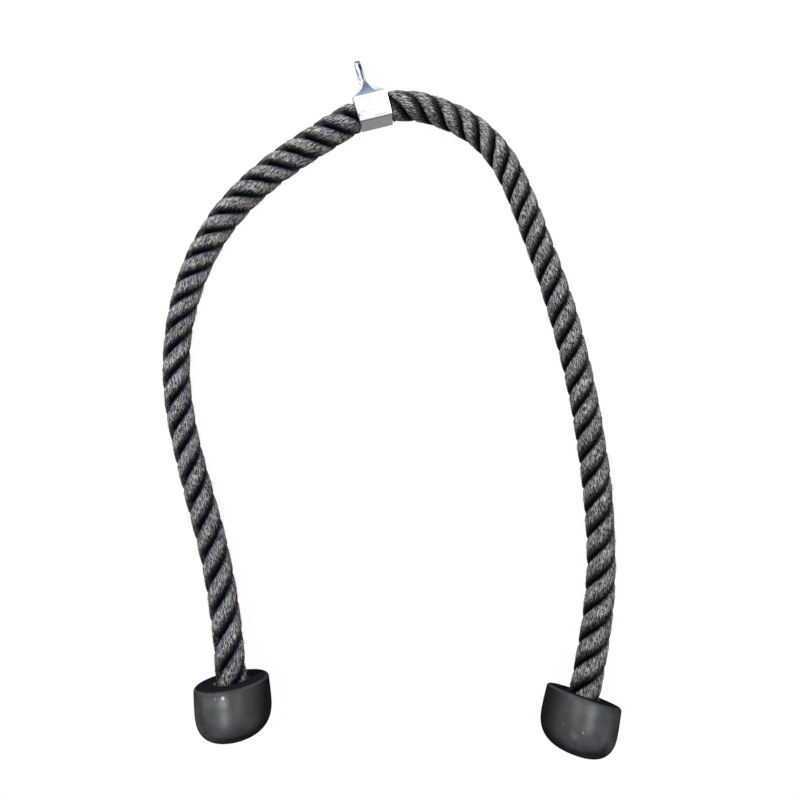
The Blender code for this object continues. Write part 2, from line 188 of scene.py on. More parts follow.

# Clamp: between which values parts of its finish and its painted reflections and shade fade in. The lower
# wall's are heights over the rope's middle, the forged neck's and the sleeve edge's are heights over the
# sleeve, the painted sky reflection's border's are ways inside it, and the front edge's are depths from the
# clamp's front. Press lines: (height, strength)
LOW_WALL_FADE = (-0.0098, -0.0109)
FORGED_FADE = (-0.0004, 0.004)
BORDER_FADE = (-0.0002, 0.0002)
SLEEVE_EDGE_FADE = (0.0002, -0.0006)
FRONT_EDGE_FADE = (-0.0019, -0.0011)
PRESS_LINES = [(-0.0024, 0.34), (-0.0079, 0.80)]
PRESS_LINE_WIDTH = 0.0006
PRESS_LINE_WANDER = 0.0007

# Rubber ends
END_LENGTH = 0.046
END_FACE_RADIUS = 0.0317
END_RADIUS = 0.0321
END_BELLY = 0.018
END_RIM_RADIUS = 0.0026
END_DOME_SHAPE = 2.74
BORE_LIP = 0.0012
LIP_SHOULDER = (0.3, 0.35)
FACE_RIM_SHARE = 1.6
BORE_LENGTH = 0.020
WASHER_BAND = 0.0037
WASHER_THICKNESS = 0.002
FERRULE_LENGTH = 0.013
ROPE_TAIL = 0.002
LEFT_HEADING_DEG = -5.9
LEFT_PITCH_DEG = 10.7
RIGHT_HEADING_DEG = -31.6
RIGHT_PITCH_DEG = 17.8

# Rubber ends: between which values parts of their finish and their painted light and shade fade in. The rim's
# painted reflection's are from the face's edge, the inner side's are sideways, the painted highlight on the
# bore's lip's are counted in lips from the bore's wall, the parting line's are to both sides of it, and all
# others are heights over the face
RIM_REFLECTION_FADE = (-0.0024, -0.0016)
NEAR_FACE_FADE = (-0.0022, -0.0015)
DOME_DARK_FADE = (-0.026, -0.034)
DOME_DARK_WANDER = 0.010
INNER_SIDE_FADE = (-0.002, 0.028)
LIP_HIGHLIGHT_FADE = (1.6, 0.8)
PARTING_LINE_DEPTH = 0.0030
PARTING_LINE_FADE = (0.0002, 0.0006)
SATIN_FADE = (-0.0008, -0.0030)

# The rope's route on the table, from the clamp's mouth to the face of each rubber end
LEFT_ROUTE = [
    (-0.0300, -0.0036), (-0.0461, -0.0090), (-0.0666, -0.0160), (-0.0852, -0.0230),
    (-0.1048, -0.0317), (-0.1324, -0.0470), (-0.1579, -0.0660), (-0.1800, -0.0890),
    (-0.1984, -0.1147), (-0.2131, -0.1429), (-0.2236, -0.1731), (-0.2297, -0.2042),
    (-0.2323, -0.2360), (-0.2326, -0.2678), (-0.2318, -0.2995), (-0.2310, -0.3312),
    (-0.2308, -0.3627), (-0.2316, -0.3922), (-0.2334, -0.4215), (-0.2366, -0.4541),
]
RIGHT_ROUTE = [
    (0.0300, -0.0022), (0.0461, -0.0083), (0.0636, -0.0195), (0.0799, -0.0337),
    (0.0927, -0.0506), (0.1018, -0.0702), (0.1072, -0.0912), (0.1107, -0.1132),
    (0.1137, -0.1383), (0.1169, -0.1654), (0.1195, -0.1930), (0.1214, -0.2276),
    (0.1218, -0.2625), (0.1207, -0.2970), (0.1182, -0.3315), (0.1145, -0.3659),
    (0.1093, -0.4003), (0.1033, -0.4310), (0.0954, -0.4582), (0.0853, -0.4845),
    (0.0730, -0.5102), (0.0563, -0.5393),
]

# How many strands have crossed the top of the rope, at every LAY_STEP from the clamp's mouth
LAY_STEP = 0.0802
LEFT_LAY_COUNTS = [0.094, 4.150, 8.115, 11.916, 15.511, 19.140, 22.567, 25.801]
RIGHT_LAY_COUNTS = [0.225, 4.351, 8.594, 12.684, 16.572, 20.414, 23.925, 27.361]

# How thick the worn rope is along each leg, as a share of its diameter, at every THICK_STEP
THICK_STEP = 0.0535
left_thickness_share = [1.02, 1.015, 1.0, 0.97, 0.93, 0.88, 0.90, 0.91, 0.955, 0.965, 0.97, 0.97]
right_thickness_share = [1.0, 0.94, 0.90, 0.905, 0.91, 0.95, 0.935, 0.955, 0.97, 0.945, 0.975, 0.98]

# How far the worn rope strays sideways from its route, at every THICK_STEP
left_stray = [-0.0016, -0.0010, -0.0003, 0.0, 0.0]
right_stray = [0.0, 0.0]

# Pale spots on the rubber, in its mould's own place: (spot, radius, fade, strength). Some are rubbed, and
# some are painted highlights
LEFT_SCUFFS_AND_HIGHLIGHTS = [
    # painted highlight on the rim's edge, and a soft painted highlight streak below it
    ((-0.0317, -0.0014, -0.0047), 0.0006, 0.0012, 0.90),
    ((-0.0320, -0.0014, -0.0085), 0.0005, 0.0050, 0.16),
    ((-0.0313, 0.0049, -0.0047), 0.0003, 0.0012, 0.22),
    # painted highlight along the bore's lip
    ((-0.0020, 0.0141, -0.0006), 0.0003, 0.0010, 0.50),
    ((-0.0055, 0.0131, -0.0006), 0.0004, 0.0011, 0.75),
    ((-0.0085, 0.0113, -0.0006), 0.0003, 0.0010, 0.45),
]
RIGHT_SCUFFS = [
    ((-0.0312, 0.0072, -0.0245), 0.0002, 0.0009, 0.40),
    ((-0.0235, 0.0215, -0.0240), 0.0002, 0.0008, 0.15),
]

# Dark marks that the press left at the ends of its lines on the clamp's front, given likewise
CLAMP_MARKS = [
    ((-0.0136, -0.0050, 0.0280), 0.0003, 0.0009, 0.90),
    ((-0.0117, -0.0063, 0.0280), 0.0002, 0.0011, 0.45),
    ((0.0143, -0.0091, 0.0276), 0.0003, 0.0007, 0.90),
]

# Each leg: its way along X, its shape, and its painted light and shade, which is how far a strand rises out
# of the painted groove shade on its flank towards the clamp and, longer and darker, on its flank towards the
# end, how strongly its grooves are tinted blue as painted sky light, how much the painted groove shade is
# lifted on its outer side, how much painted shade darkens its inner side, and how gradually it opens out from
# the clamp
LEFT_LEG = {
    "sign": -1, "route": LEFT_ROUTE, "heading_deg": LEFT_HEADING_DEG, "pitch_deg": LEFT_PITCH_DEG,
    "lay_counts": LEFT_LAY_COUNTS, "thickness_share": left_thickness_share, "stray": left_stray,
    "near_shade_reach": 0.0050, "dark_reach": 0.0140, "dark_shape": 4.0, "sky_tint_share": 1.0, "outer_groove_lift": 0.18,
    "shade_share": 0.0, "squeeze_fade": 0.0050, "scuffs_and_highlights": LEFT_SCUFFS_AND_HIGHLIGHTS,
}
RIGHT_LEG = {
    "sign": 1, "route": RIGHT_ROUTE, "heading_deg": RIGHT_HEADING_DEG, "pitch_deg": RIGHT_PITCH_DEG,
    "lay_counts": RIGHT_LAY_COUNTS, "thickness_share": right_thickness_share, "stray": right_stray,
    "near_shade_reach": 0.0060, "dark_reach": 0.0152, "dark_shape": 3.2, "sky_tint_share": 0.25, "outer_groove_lift": 0.0,
    "shade_share": 0.45, "squeeze_fade": 0.0016, "scuffs_and_highlights": RIGHT_SCUFFS,
}

# How finely the shapes are cut
TURN_STEPS = 160
HOLE_STEPS = 72
CORNER_STEPS = 7
FILLET_STEPS = 7
RIM_STEPS = 8
DOME_STEPS = 40
COARSE_RIM_STEPS = 4
COARSE_DOME_STEPS = 12
FLARE_STEPS = 24
DISC_STEPS = 26
SPAN_STEPS = 24
SHARP_EDGE_DEG = 32.0

# Studio: the floor as it lights things from below and as metal mirrors it, and the sky likewise
FLOOR_HALF = 6.0
FLOOR_BOUNCE = (0.13, 0.13, 0.13)
FLOOR_IN_METAL = (0.85, 0.85, 0.86)
FLOOR_WHITE = 1.04
FLOOR_WHITE_SHARE = 0.93
SKY_LIGHT_SHARE = 0.45
SKY_MIRRORED_SHARE = 1.0
WHITE = (1.0, 1.0, 1.0)
LAMP_WARM = (1.0, 0.98, 0.95)
LAMP_AIM = (-0.04, -0.20, 0.0)

# Camera
CAMERA_PLACE = (-0.0273, -0.2099, 0.592)
CAMERA_TURN_DEG = -13.7
CAMERA_SHIFT = -0.065
LENS_MM = 29.25
SENSOR_MM = 36.0
CLIP_START = 0.01
CLIP_END = 50.0

# Sizes that follow from the ones above
ROPE_REST_HEIGHT = ROPE_RADIUS + TABLE_GAP
PASSAGE_HALF_HEIGHT = ROPE_RADIUS - HEIGHT_SQUEEZE / 2
PASSAGE_HALF_DEPTH = ROPE_RADIUS - DEPTH_SQUEEZE / 2
SLEEVE_TOP = PASSAGE_HALF_HEIGHT + CLAMP_WALL
CLAMP_MIDDLE = PASSAGE_HALF_DEPTH + CLAMP_WALL
MOUTH_X = CLAMP_WIDTH / 2
EYE_CENTRE = EYE_HEIGHT - EYE_RADIUS
HOLE_RADIUS = EYE_HOLE_DIAMETER / 2
BORE_RADIUS = ROPE_RADIUS + FIT_GAP
POCKET_RADIUS = BORE_RADIUS + WASHER_BAND + FIT_GAP
TAIL_BOTTOM = BORE_LENGTH + 2 * FIT_GAP + WASHER_THICKNESS + FERRULE_LENGTH + ROPE_TAIL
POCKET_BOTTOM = TAIL_BOTTOM + FIT_GAP
YARN_POINTS = YARNS_PER_STRAND * POINTS_PER_YARN


# Shapes

def smooth_share(share):
    share = min(max(share, 0.0), 1.0)
    return share * share * (3.0 - 2.0 * share)


def curve_between(a, b, c, d, t):
    """A smooth curve's value at the share t of the way from b to c, where a lies before them and d after."""
    return 0.5 * (2 * b + (c - a) * t + (2 * a - 5 * b + 4 * c - d) * t**2 + (3 * b - a - 3 * c + d) * t**3)


def plan_curve(points, start_way, end_way):
    """A smooth curve through points on the table that leaves and arrives along the given ways."""
    plan = [np.array(point) for point in points]
    first_span = np.linalg.norm(plan[1] - plan[0])
    last_span = np.linalg.norm(plan[-1] - plan[-2])
    before = plan[1] - 2.0 * first_span * np.array(start_way)
    after = plan[-2] + 2.0 * last_span * np.array(end_way)
    knots = [before] + plan + [after]
    curve = [plan[0]]
    for near in zip(knots, knots[1:], knots[2:], knots[3:]):
        for step in range(1, SPAN_STEPS + 1):
            curve.append(curve_between(*near, step / SPAN_STEPS))
    return np.array(curve)


def lengths_along(route):
    return np.concatenate(([0.0], np.cumsum(np.linalg.norm(np.diff(route, axis=0), axis=1))))


def points_along(route, lengths, marks):
    """The route's points at the given lengths along it."""
    return np.column_stack([np.interp(marks, lengths, route[:, i]) for i in range(3)])


def face_height(pitch_deg):
    """The height of the face's middle when the rubber end lies on the table."""
    pitch = math.radians(pitch_deg)
    profile = outer_profile(COARSE_RIM_STEPS, COARSE_DOME_STEPS)
    return max(radius * math.cos(pitch) - depth * math.sin(pitch) for radius, depth in profile)


def raise_route(curve, pitch_deg):
    """Gives the plan its heights: from the clamp's middle to the table, and up into the rubber end."""
    along = lengths_along(curve)
    top = face_height(pitch_deg)
    slope = math.tan(math.radians(pitch_deg))
    heights = []
    for distance in along:
        settle = (CLAMP_MIDDLE - ROPE_REST_HEIGHT) * (1.0 - smooth_share(distance / SETTLE_LENGTH))
        t = max(0.0, 1.0 - (along[-1] - distance) / RISE_LENGTH)
        rise = (top - ROPE_REST_HEIGHT) * (3 * t**2 - 2 * t**3) + RISE_LENGTH * slope * (t**3 - t**2)
        heights.append(ROPE_REST_HEIGHT + settle + rise)
    return np.column_stack((curve, heights))


def axis_of(heading_deg, pitch_deg):
    """The way from a rubber end's face to its dome: the heading turns from -Y, the pitch lifts it."""
    heading = math.radians(heading_deg)
    pitch = math.radians(pitch_deg)
    flat = math.cos(pitch)
    return Vector((math.sin(heading) * flat, -math.cos(heading) * flat, math.sin(pitch)))


def end_frame(middle, axis):
    """Local Z points out of the face towards the rope, local X down."""
    up = -axis
    down = Vector((0.0, 0.0, -1.0))
    x_axis = (down - up * down.dot(up)).normalized()
    y_axis = up.cross(x_axis)
    turn = Matrix((x_axis, y_axis, up)).transposed().to_4x4()
    return Matrix.Translation(middle) @ turn


def table_value(values, step, distance):
    """A smooth curve through values that stand a step apart, carried on straight beyond both ends."""
    place = distance / step
    index = int(min(max(math.floor(place), 0), len(values) - 2))
    t = place - index
    b = values[index]
    c = values[index + 1]
    if t < 0.0 or t > 1.0:
        return b + (c - b) * t
    a = values[index - 1] if index > 0 else 2 * b - c
    d = values[index + 2] if index + 2 < len(values) else 2 * c - b
    return curve_between(a, b, c, d, t)


def held_value(values, step, distance):
    """As table_value, but the first and last value hold beyond the ends."""
    distance = min(max(distance, 0.0), step * (len(values) - 1))
    return table_value(values, step, distance)


def leg_centreline(leg):
    """The rope's middle from the clamp's middle, through the mouth, to its tail in the rubber end."""
    sign = leg["sign"]
    axis = axis_of(leg["heading_deg"], leg["pitch_deg"])
    flat_way = Vector((axis.x, axis.y)).normalized()
    mouth = (sign * (MOUTH_X + FIT_GAP), 0.0)
    curve = plan_curve([mouth] + leg["route"], (float(sign), 0.0), tuple(flat_way))
    route = raise_route(curve, leg["pitch_deg"])
    free = float(lengths_along(route)[-1])
    gripped = MOUTH_X + FIT_GAP - MEETING_GAP
    inside = [np.array((sign * MEETING_GAP + sign * gripped * t, 0.0, CLAMP_MIDDLE))
              for t in np.linspace(0, 1, GRIPPED_POINTS)[:-1]]
    face = Vector(route[-1])
    held = [np.array(face + axis * TAIL_BOTTOM * t) for t in np.linspace(0, 1, HELD_POINTS)[1:]]
    return np.vstack((inside, route, held)), gripped, free, face, axis


def strand_outline():
    """The section of one strand: a third of the rope, rounder than it and with round corners."""
    half_angle = math.pi / STRAND_COUNT
    crown = STRAND_CROWN_RADIUS
    crown_middle = ROPE_RADIUS - crown
    to_corner = crown - STRAND_CORNER
    inset = STRAND_CORNER + STRAND_GAP - crown_middle * math.sin(half_angle)
    corner_angle = half_angle - math.asin(inset / to_corner)
    points = []
    for t in np.linspace(-corner_angle, corner_angle, CROWN_POINTS):
        points.append((crown_middle + crown * math.cos(t), crown * math.sin(t)))
    middle = np.array((crown_middle + to_corner * math.cos(corner_angle), to_corner * math.sin(corner_angle)))
    for t in np.linspace(corner_angle, half_angle + math.pi / 2, CORNER_POINTS)[1:]:
        points.append(tuple(middle + STRAND_CORNER * np.array((math.cos(t), math.sin(t)))))
    tip = np.array((STRAND_GAP / math.sin(half_angle) + STRAND_TIP_INSET, 0.0))
    start = np.array(points[-1])
    flank_end = tip + STRAND_TIP_RADIUS * np.array((-math.sin(half_angle), math.cos(half_angle)))
    for t in np.linspace(0, 1, FLANK_POINTS)[1:]:
        points.append(tuple(start + (flank_end - start) * t))
    mirrored = [(a, -b) for a, b in reversed(points[CROWN_POINTS:])]
    outline = np.array(points + mirrored)
    closed = np.vstack((outline, outline[:1]))
    return closed, lengths_along(closed)


def outline_normals(closed):
    """Outward directions at the points of a closed outline that runs anticlockwise."""
    loop = closed[:-1]
    ahead = np.roll(loop, -1, axis=0) - np.roll(loop, 1, axis=0)
    ways = np.column_stack((ahead[:, 1], -ahead[:, 0]))
    ways /= np.maximum(np.linalg.norm(ways, axis=1), 1e-9)[:, None]
    return np.vstack((ways, ways[:1]))


def strand_openness(closed, lengths, leg):
    """Two shares round a strand, both painted light and shade. How far it is out of the painted groove shade:
    0 in the groove and 1 on the crown, with a short rise on the flank towards the clamp and a long, darker
    one on the flank towards the end. How strongly it is tinted blue as
    painted sky light: 1 in the groove on the clamp's side, fading out up the flank."""
    half_angle = math.pi / STRAND_COUNT
    across = closed[:, 0] * math.sin(half_angle) - np.abs(closed[:, 1]) * math.cos(half_angle)
    deep = np.hypot(closed[:, 0], closed[:, 1]) < ROPE_RADIUS * DEEP_SHARE
    touching = np.where((across < STRAND_GAP * TOUCHING_SHARE) | deep)[0]
    away = np.abs(lengths[:, None] - lengths[touching][None, :])
    away = np.minimum(away, lengths[-1] - away).min(axis=1)
    short = np.clip(away / leg["near_shade_reach"], 0.0, 1.0)
    long = np.clip(away / leg["dark_reach"], 0.0, 1.0) ** leg["dark_shape"]
    wear_and_shade = np.where(closed[:, 1] > 0.0, short * short * (3.0 - 2.0 * short), long)
    sky_tint = np.where(closed[:, 1] > 0.0, 1.0 - np.clip(away / SKY_TINT_REACH, 0.0, 1.0), 0.0)
    return wear_and_shade, sky_tint


def squeezed_radius(angles):
    """How far the squeezed rope reaches, as a share of its round radius, at angles from the side way."""
    half_side = (PASSAGE_HALF_HEIGHT - FIT_GAP) / ROPE_RADIUS
    half_high = (PASSAGE_HALF_DEPTH - FIT_GAP) / ROPE_RADIUS
    side = (np.abs(np.cos(angles)) / half_side) ** SQUEEZE_SHAPE
    high = (np.abs(np.sin(angles)) / half_high) ** SQUEEZE_SHAPE
    return (side + high) ** (-1.0 / SQUEEZE_SHAPE)


def smooth_rows(rows, passes):
    """Each row becomes the mean of itself and its neighbours, a few times over."""
    rows = np.array(rows, float)
    for _ in range(passes):
        padded = np.vstack((rows[:1], rows, rows[-1:]))
        rows = (padded[:-2] + 2.0 * rows + padded[2:]) / 4.0
    return rows


def ring_marks(total, gripped):
    """Where the rings of points stand along the rope, closer together at the clamp's mouth."""
    count = int(round(total / RING_SPACING)) + 1
    return np.sort(np.concatenate((np.linspace(0.0, total, count), gripped + np.array(MOUTH_RINGS))))


def ring_ways(middles):
    """The ways to the side and down at each ring, square to the rope."""
    ways = smooth_rows(np.gradient(middles, axis=0), WAY_SMOOTHING)
    ways /= np.linalg.norm(ways, axis=1)[:, None]
    side_ways = np.cross(ways, np.array((0.0, 0.0, 1.0)))
    side_ways /= np.linalg.norm(side_ways, axis=1)[:, None]
    return side_ways, np.cross(ways, side_ways)


def strand_ring(strand, distance, free, section, yarn_lift, leg):
    """One ring of a strand's points: their angles and reaches from the rope's middle, how far they are out of
    the painted groove shade, the painted sky tint of their grooves, and the drop and stray of the ring's
    middle."""
    lengths, rows = section
    count = table_value(leg["lay_counts"], LAY_STEP, distance)
    turn = math.tau * (count - strand) / STRAND_COUNT - math.pi / 2
    slide = -YARN_TWIST_SHARE * ROPE_RADIUS * turn
    yarn_places = np.mod(np.arange(YARN_POINTS) / YARN_POINTS * lengths[-1] + slide, lengths[-1])
    a, b, out_a, out_b, depth, sky_tint = (np.interp(yarn_places, lengths, row) for row in rows)
    past = np.hypot(a, b) - YARNS_SHOW_FROM * ROPE_RADIUS
    shown = np.clip(past / (YARNS_SHOW_FADE * ROPE_RADIUS), 0.0, 1.0)
    a = a + out_a * yarn_lift * shown
    b = b + out_b * yarn_lift * shown
    angle = np.arctan2(b, a) + turn
    share = held_value(leg["thickness_share"], THICK_STEP, distance)
    loose = smooth_share((distance - SQUEEZE_START) / leg["squeeze_fade"])
    squeeze = 1.0 - loose
    held = smooth_share((distance - free) / BORE_FADE + 1.0)
    share = share * (1.0 - held) + BORE_FILL * held
    reach = np.hypot(a, b)
    reach = reach * (share * (1.0 - squeeze) + squeezed_radius(angle) * SQUEEZE_FILL * squeeze)
    at_end = smooth_share((distance - free) / REST_FADE + 1.0)
    drop = (1.0 - share) * ROPE_RADIUS * (1.0 - squeeze) * (1.0 - at_end) - ROPE_LIFT * (1.0 - squeeze)
    stray = held_value(leg["stray"], THICK_STEP, distance) * (1.0 - squeeze)
    return angle, reach, depth, sky_tint, drop, stray


def strand_looks(angle, distance, depth, sky_tint, tone, leg):
    """The painted groove shade, the tone darkened by painted shade on one side, and the painted sky tint that
    the rope's material reads, by the side that a point faces.
    """
    outer = np.clip(np.cos(angle), 0.0, 1.0)
    inner = np.clip(-np.cos(angle), 0.0, 1.0)
    # the painted groove shade is lifted on the leg's outer side
    groove_lift = leg["outer_groove_lift"] * np.clip(outer * GROOVE_LIFT_GAIN - GROOVE_LIFT_START, 0.0, 1.0)
    # painted shadow: the rope darkens where it goes into the clamp's mouth
    shaded = MOUTH_DARKEST + (1.0 - MOUTH_DARKEST) * smooth_share(distance / MOUTH_SHADE)
    return {
        "yarn_depth": np.maximum(depth, groove_lift) * shaded,
        # the yarns' own random tone, darkened on the leg's inner side as painted shade
        "yarn_tone": tone * (1.0 - leg["shade_share"] * outer),
        # painted sky light: a blue tint in the groove on the clamp's side, weaker on the leg's inner side
        "yarn_sky_tint": sky_tint * leg["sky_tint_share"] * (1.0 - INNER_SKY_TINT_LOSS * inner),
    }


def strand_faces(base, ring_count):
    """The faces of one strand: its skin, and a flat end on its first and last ring."""
    faces = []
    for low in range(base, base + (ring_count - 1) * YARN_POINTS, YARN_POINTS):
        high = low + YARN_POINTS
        for i in range(YARN_POINTS):
            j = (i + 1) % YARN_POINTS
            faces.append((low + i, low + j, high + j, high + i))
    for ring, order in ((0, -1), (ring_count - 1, 1)):
        start = base + ring * YARN_POINTS
        faces.append(tuple(range(start, start + YARN_POINTS))[::order])
    return faces


def make_rope(side, leg, centreline, gripped, free, material):
    """One leg of the rope: three strands in one mesh, each a bundle of yarns that run along the rope."""
    rng = np.random.default_rng(SEED + len(side))
    along_line = lengths_along(centreline)
    total = along_line[-1]
    marks = ring_marks(total, gripped)
    ring_count = len(marks)
    middles = points_along(centreline, along_line, marks)
    side_ways, down_ways = ring_ways(middles)

    closed, lengths = strand_outline()
    section = lengths, [*closed.T, *outline_normals(closed).T, *strand_openness(closed, lengths, leg)]
    yarn_angle = math.tau * np.arange(YARN_POINTS) / YARN_POINTS
    yarn_circle = lengths[-1] / math.tau * np.column_stack((np.cos(yarn_angle), np.sin(yarn_angle)))
    relief = YARN_RELIEF * np.array(YARN_SECTION)[np.arange(YARN_POINTS) % POINTS_PER_YARN]
    index = np.arange(YARN_POINTS) // POINTS_PER_YARN
    verts = []
    faces = []
    looks = {"yarn_place": [], "yarn_depth": [], "yarn_tone": [], "yarn_sky_tint": []}
    for strand in range(STRAND_COUNT):
        proud = rng.normal(0.0, YARN_UNEVENNESS, YARNS_PER_STRAND)
        tone = rng.random(YARNS_PER_STRAND)
        loose = smooth_rows(rng.normal(0.0, 1.0, (ring_count, YARNS_PER_STRAND)), LOOSENESS_SMOOTHING)
        loose = loose * YARN_LOOSENESS
        faces += strand_faces(len(verts), ring_count)
        for ring, mark in enumerate(marks):
            distance = mark - gripped
            lift = relief + (proud[index] + loose[ring][index]) * (relief > 0)
            angle, reach, depth, sky_tint, drop, stray = strand_ring(strand, distance, free, section, lift, leg)
            middle = middles[ring] - np.array((0.0, 0.0, drop)) + stray * side_ways[ring]
            verts.extend(
                middle
                + (reach * np.cos(angle))[:, None] * side_ways[ring]
                + (reach * np.sin(angle))[:, None] * down_ways[ring]
            )
            pattern_mark = np.full(YARN_POINTS, mark + strand * STRAND_PATTERN_STEP)
            looks["yarn_place"].extend(np.column_stack((yarn_circle, pattern_mark)))
            for name, values in strand_looks(angle, distance, depth, sky_tint, tone[index], leg).items():
                looks[name].extend(values)
    rope = make_piece("laid_rope_" + side, verts, faces, looks, material)
    rope.data.shade_smooth()
    ends = np.searchsorted(marks, (gripped + BORE_FADE, gripped + free - BORE_FADE))
    hairs = make_hairs(side, rope.data, np.array(verts), looks, ring_count, ends, material)
    path = [tuple(p) for p in middles[::max(1, ring_count // PATH_POINTS)]] + [tuple(middles[-1])]
    return rope, hairs, path, float(total)


def make_hairs(side, rope_mesh, points, looks, ring_count, ends, material):
    """Broken fibres that stand off the yarns out of the painted groove shade: each a thin three-sided spike
    that starts in its yarn.
    """
    rng = np.random.default_rng(SEED + HAIR_SEED_STEP * len(side))
    normals = np.zeros(len(points) * 3, np.float32)
    rope_mesh.vertex_normals.foreach_get("vector", normals)
    normals = normals.reshape(-1, 3)
    verts = []
    faces = []
    places = []
    while len(verts) < HAIR_COUNT * (2 * HAIR_SIDES + 1):
        ring = int(rng.integers(*ends))
        strand = int(rng.integers(STRAND_COUNT))
        index = (strand * ring_count + ring) * YARN_POINTS + int(rng.integers(YARN_POINTS))
        length = rng.uniform(*HAIR_LENGTHS)
        lift = rng.uniform(*HAIR_LIFTS)
        stray = rng.normal(0.0, HAIR_STRAY)
        if looks["yarn_depth"][index] < UNSHADED_ENOUGH:
            continue
        out = normals[index]
        along = points[index + YARN_POINTS] - points[index]
        along /= np.linalg.norm(along)
        aside = np.cross(along, out)
        way = along + stray * aside
        root = points[index] - out * HAIR_ROOT
        middle = root + way * length * 0.5 + out * (HAIR_ROOT + lift * HAIR_SAG)
        tip = root + way * length + out * (HAIR_ROOT + lift)
        if min(tip[2], root[2]) < HAIR_CLEARANCE:
            continue
        base = len(verts)
        for centre, radius in ((root, HAIR_RADIUS), (middle, HAIR_RADIUS * HAIR_TAPER)):
            for step in range(HAIR_SIDES):
                angle = math.tau * step / HAIR_SIDES
                verts.append(centre + radius * (math.cos(angle) * out + math.sin(angle) * aside))
        verts.append(tip)
        places.extend([looks["yarn_place"][index]] * (2 * HAIR_SIDES + 1))
        faces.append((base + 2, base + 1, base))
        for i in range(HAIR_SIDES):
            j = (i + 1) % HAIR_SIDES
            faces.append((base + i, base + j, base + HAIR_SIDES + j, base + HAIR_SIDES + i))
            faces.append((base + HAIR_SIDES + i, base + HAIR_SIDES + j, base + 2 * HAIR_SIDES))
    count = len(verts)
    hair_looks = {"yarn_place": places, "yarn_depth": np.ones(count), "yarn_tone": np.full(count, HAIR_TONE),
                  "yarn_sky_tint": np.zeros(count)}
    return make_piece("rope_hairs_" + side, verts, faces, hair_looks, material)


def make_piece(name, verts, faces, attributes, material):
    """A mesh object with values written on its points for its material."""
    mesh = bpy.data.meshes.new(name)
    mesh.from_pydata([tuple(p) for p in verts], [], faces)
    write_attributes(mesh, attributes)
    piece = add_object(name, mesh)
    mesh.materials.append(material)
    return piece


def write_attributes(mesh, attributes):
    """Writes a number or a vector on each point of a mesh, under each name."""
    for name, values in attributes.items():
        values = np.asarray(values, np.float32)
        kind, field = ("FLOAT_VECTOR", "vector") if values.ndim == 2 else ("FLOAT", "value")
        mesh.attributes.new(name, kind, "POINT").data.foreach_set(field, values.ravel())


def add_object(name, data):
    obj = bpy.data.objects.new(name, data)
    bpy.context.scene.collection.objects.link(obj)
    return obj


def give_only(obj, material):
    obj.data.materials.clear()
    obj.data.materials.append(material)


def rounded_ring(half_a, half_b, corner):
    """A rectangle with round corners, as (a, b) points that run once round it."""
    corner = min(corner, half_a, half_b)
    points = []
    for quarter, (sign_a, sign_b) in enumerate(((1, 1), (-1, 1), (-1, -1), (1, -1))):
        for step in range(CORNER_STEPS + 1):
            angle = math.pi / 2 * (quarter + step / CORNER_STEPS)
            a = sign_a * (half_a - corner) + corner * math.cos(angle)
            b = sign_b * (half_b - corner) + corner * math.sin(angle)
            points.append((a, b))
    return points


def finish_shape(name, bm):
    """Turns all faces outwards and makes an object of the shape."""
    bmesh.ops.recalc_face_normals(bm, faces=bm.faces)
    mesh = bpy.data.meshes.new(name)
    bm.to_mesh(mesh)
    bm.free()
    return add_object(name, mesh)


def loft(name, rings):
    """A closed body through rings of equal count, with a flat face on the first and the last."""
    bm = bmesh.new()
    loops = [[bm.verts.new(point) for point in ring] for ring in rings]
    count = len(rings[0])
    for low, high in zip(loops, loops[1:]):
        for i in range(count):
            j = (i + 1) % count
            bm.faces.new((low[i], low[j], high[j], high[i]))
    bm.faces.new(loops[0])
    bm.faces.new(loops[-1])
    return finish_shape(name, bm)


def turned(name, profile, steps=TURN_STEPS):
    """A profile of (radius, height) points that starts and ends on the axis, turned about Z."""
    bm = bmesh.new()
    rings = []
    for radius, height in profile:
        if radius == 0.0:
            rings.append([bm.verts.new((0.0, 0.0, height))])
            continue
        angles = [math.tau * step / steps for step in range(steps)]
        rings.append([bm.verts.new((radius * math.cos(t), radius * math.sin(t), height)) for t in angles])
    for high, low in zip(rings, rings[1:]):
        for i in range(steps):
            j = (i + 1) % steps
            if len(high) == 1:
                bm.faces.new((high[0], low[i], low[j]))
            elif len(low) == 1:
                bm.faces.new((high[i], low[0], high[j]))
            else:
                bm.faces.new((high[i], low[i], low[j], high[j]))
    return finish_shape(name, bm)


def soften(obj):
    """Smooth shading with the crisp edges kept."""
    obj.data.shade_smooth()
    obj.data.set_sharp_from_angle(angle=math.radians(SHARP_EDGE_DEG))


def cut_and_apply(obj, cutters):
    """Cuts each cutter out of a body for good, and removes the cutters."""
    for cutter in cutters:
        boolean = obj.modifiers.new("cut", "BOOLEAN")
        boolean.operation = "DIFFERENCE"
        boolean.solver = "EXACT"
        boolean.object = cutter
    bpy.context.view_layer.update()
    mesh = bpy.data.meshes.new_from_object(obj.evaluated_get(bpy.context.evaluated_depsgraph_get()))
    obj.modifiers.clear()
    obj.data = mesh
    for cutter in cutters:
        bpy.data.objects.remove(cutter, do_unlink=True)


def eye_middle(height):
    """How far along X the middle of the neck or eye lies at a height over the sleeve."""
    lean = math.tan(math.radians(EYE_LEAN_DEG)) * height
    return -EYE_OFFSET * smooth_share(height / FLARE_HEIGHT) - lean


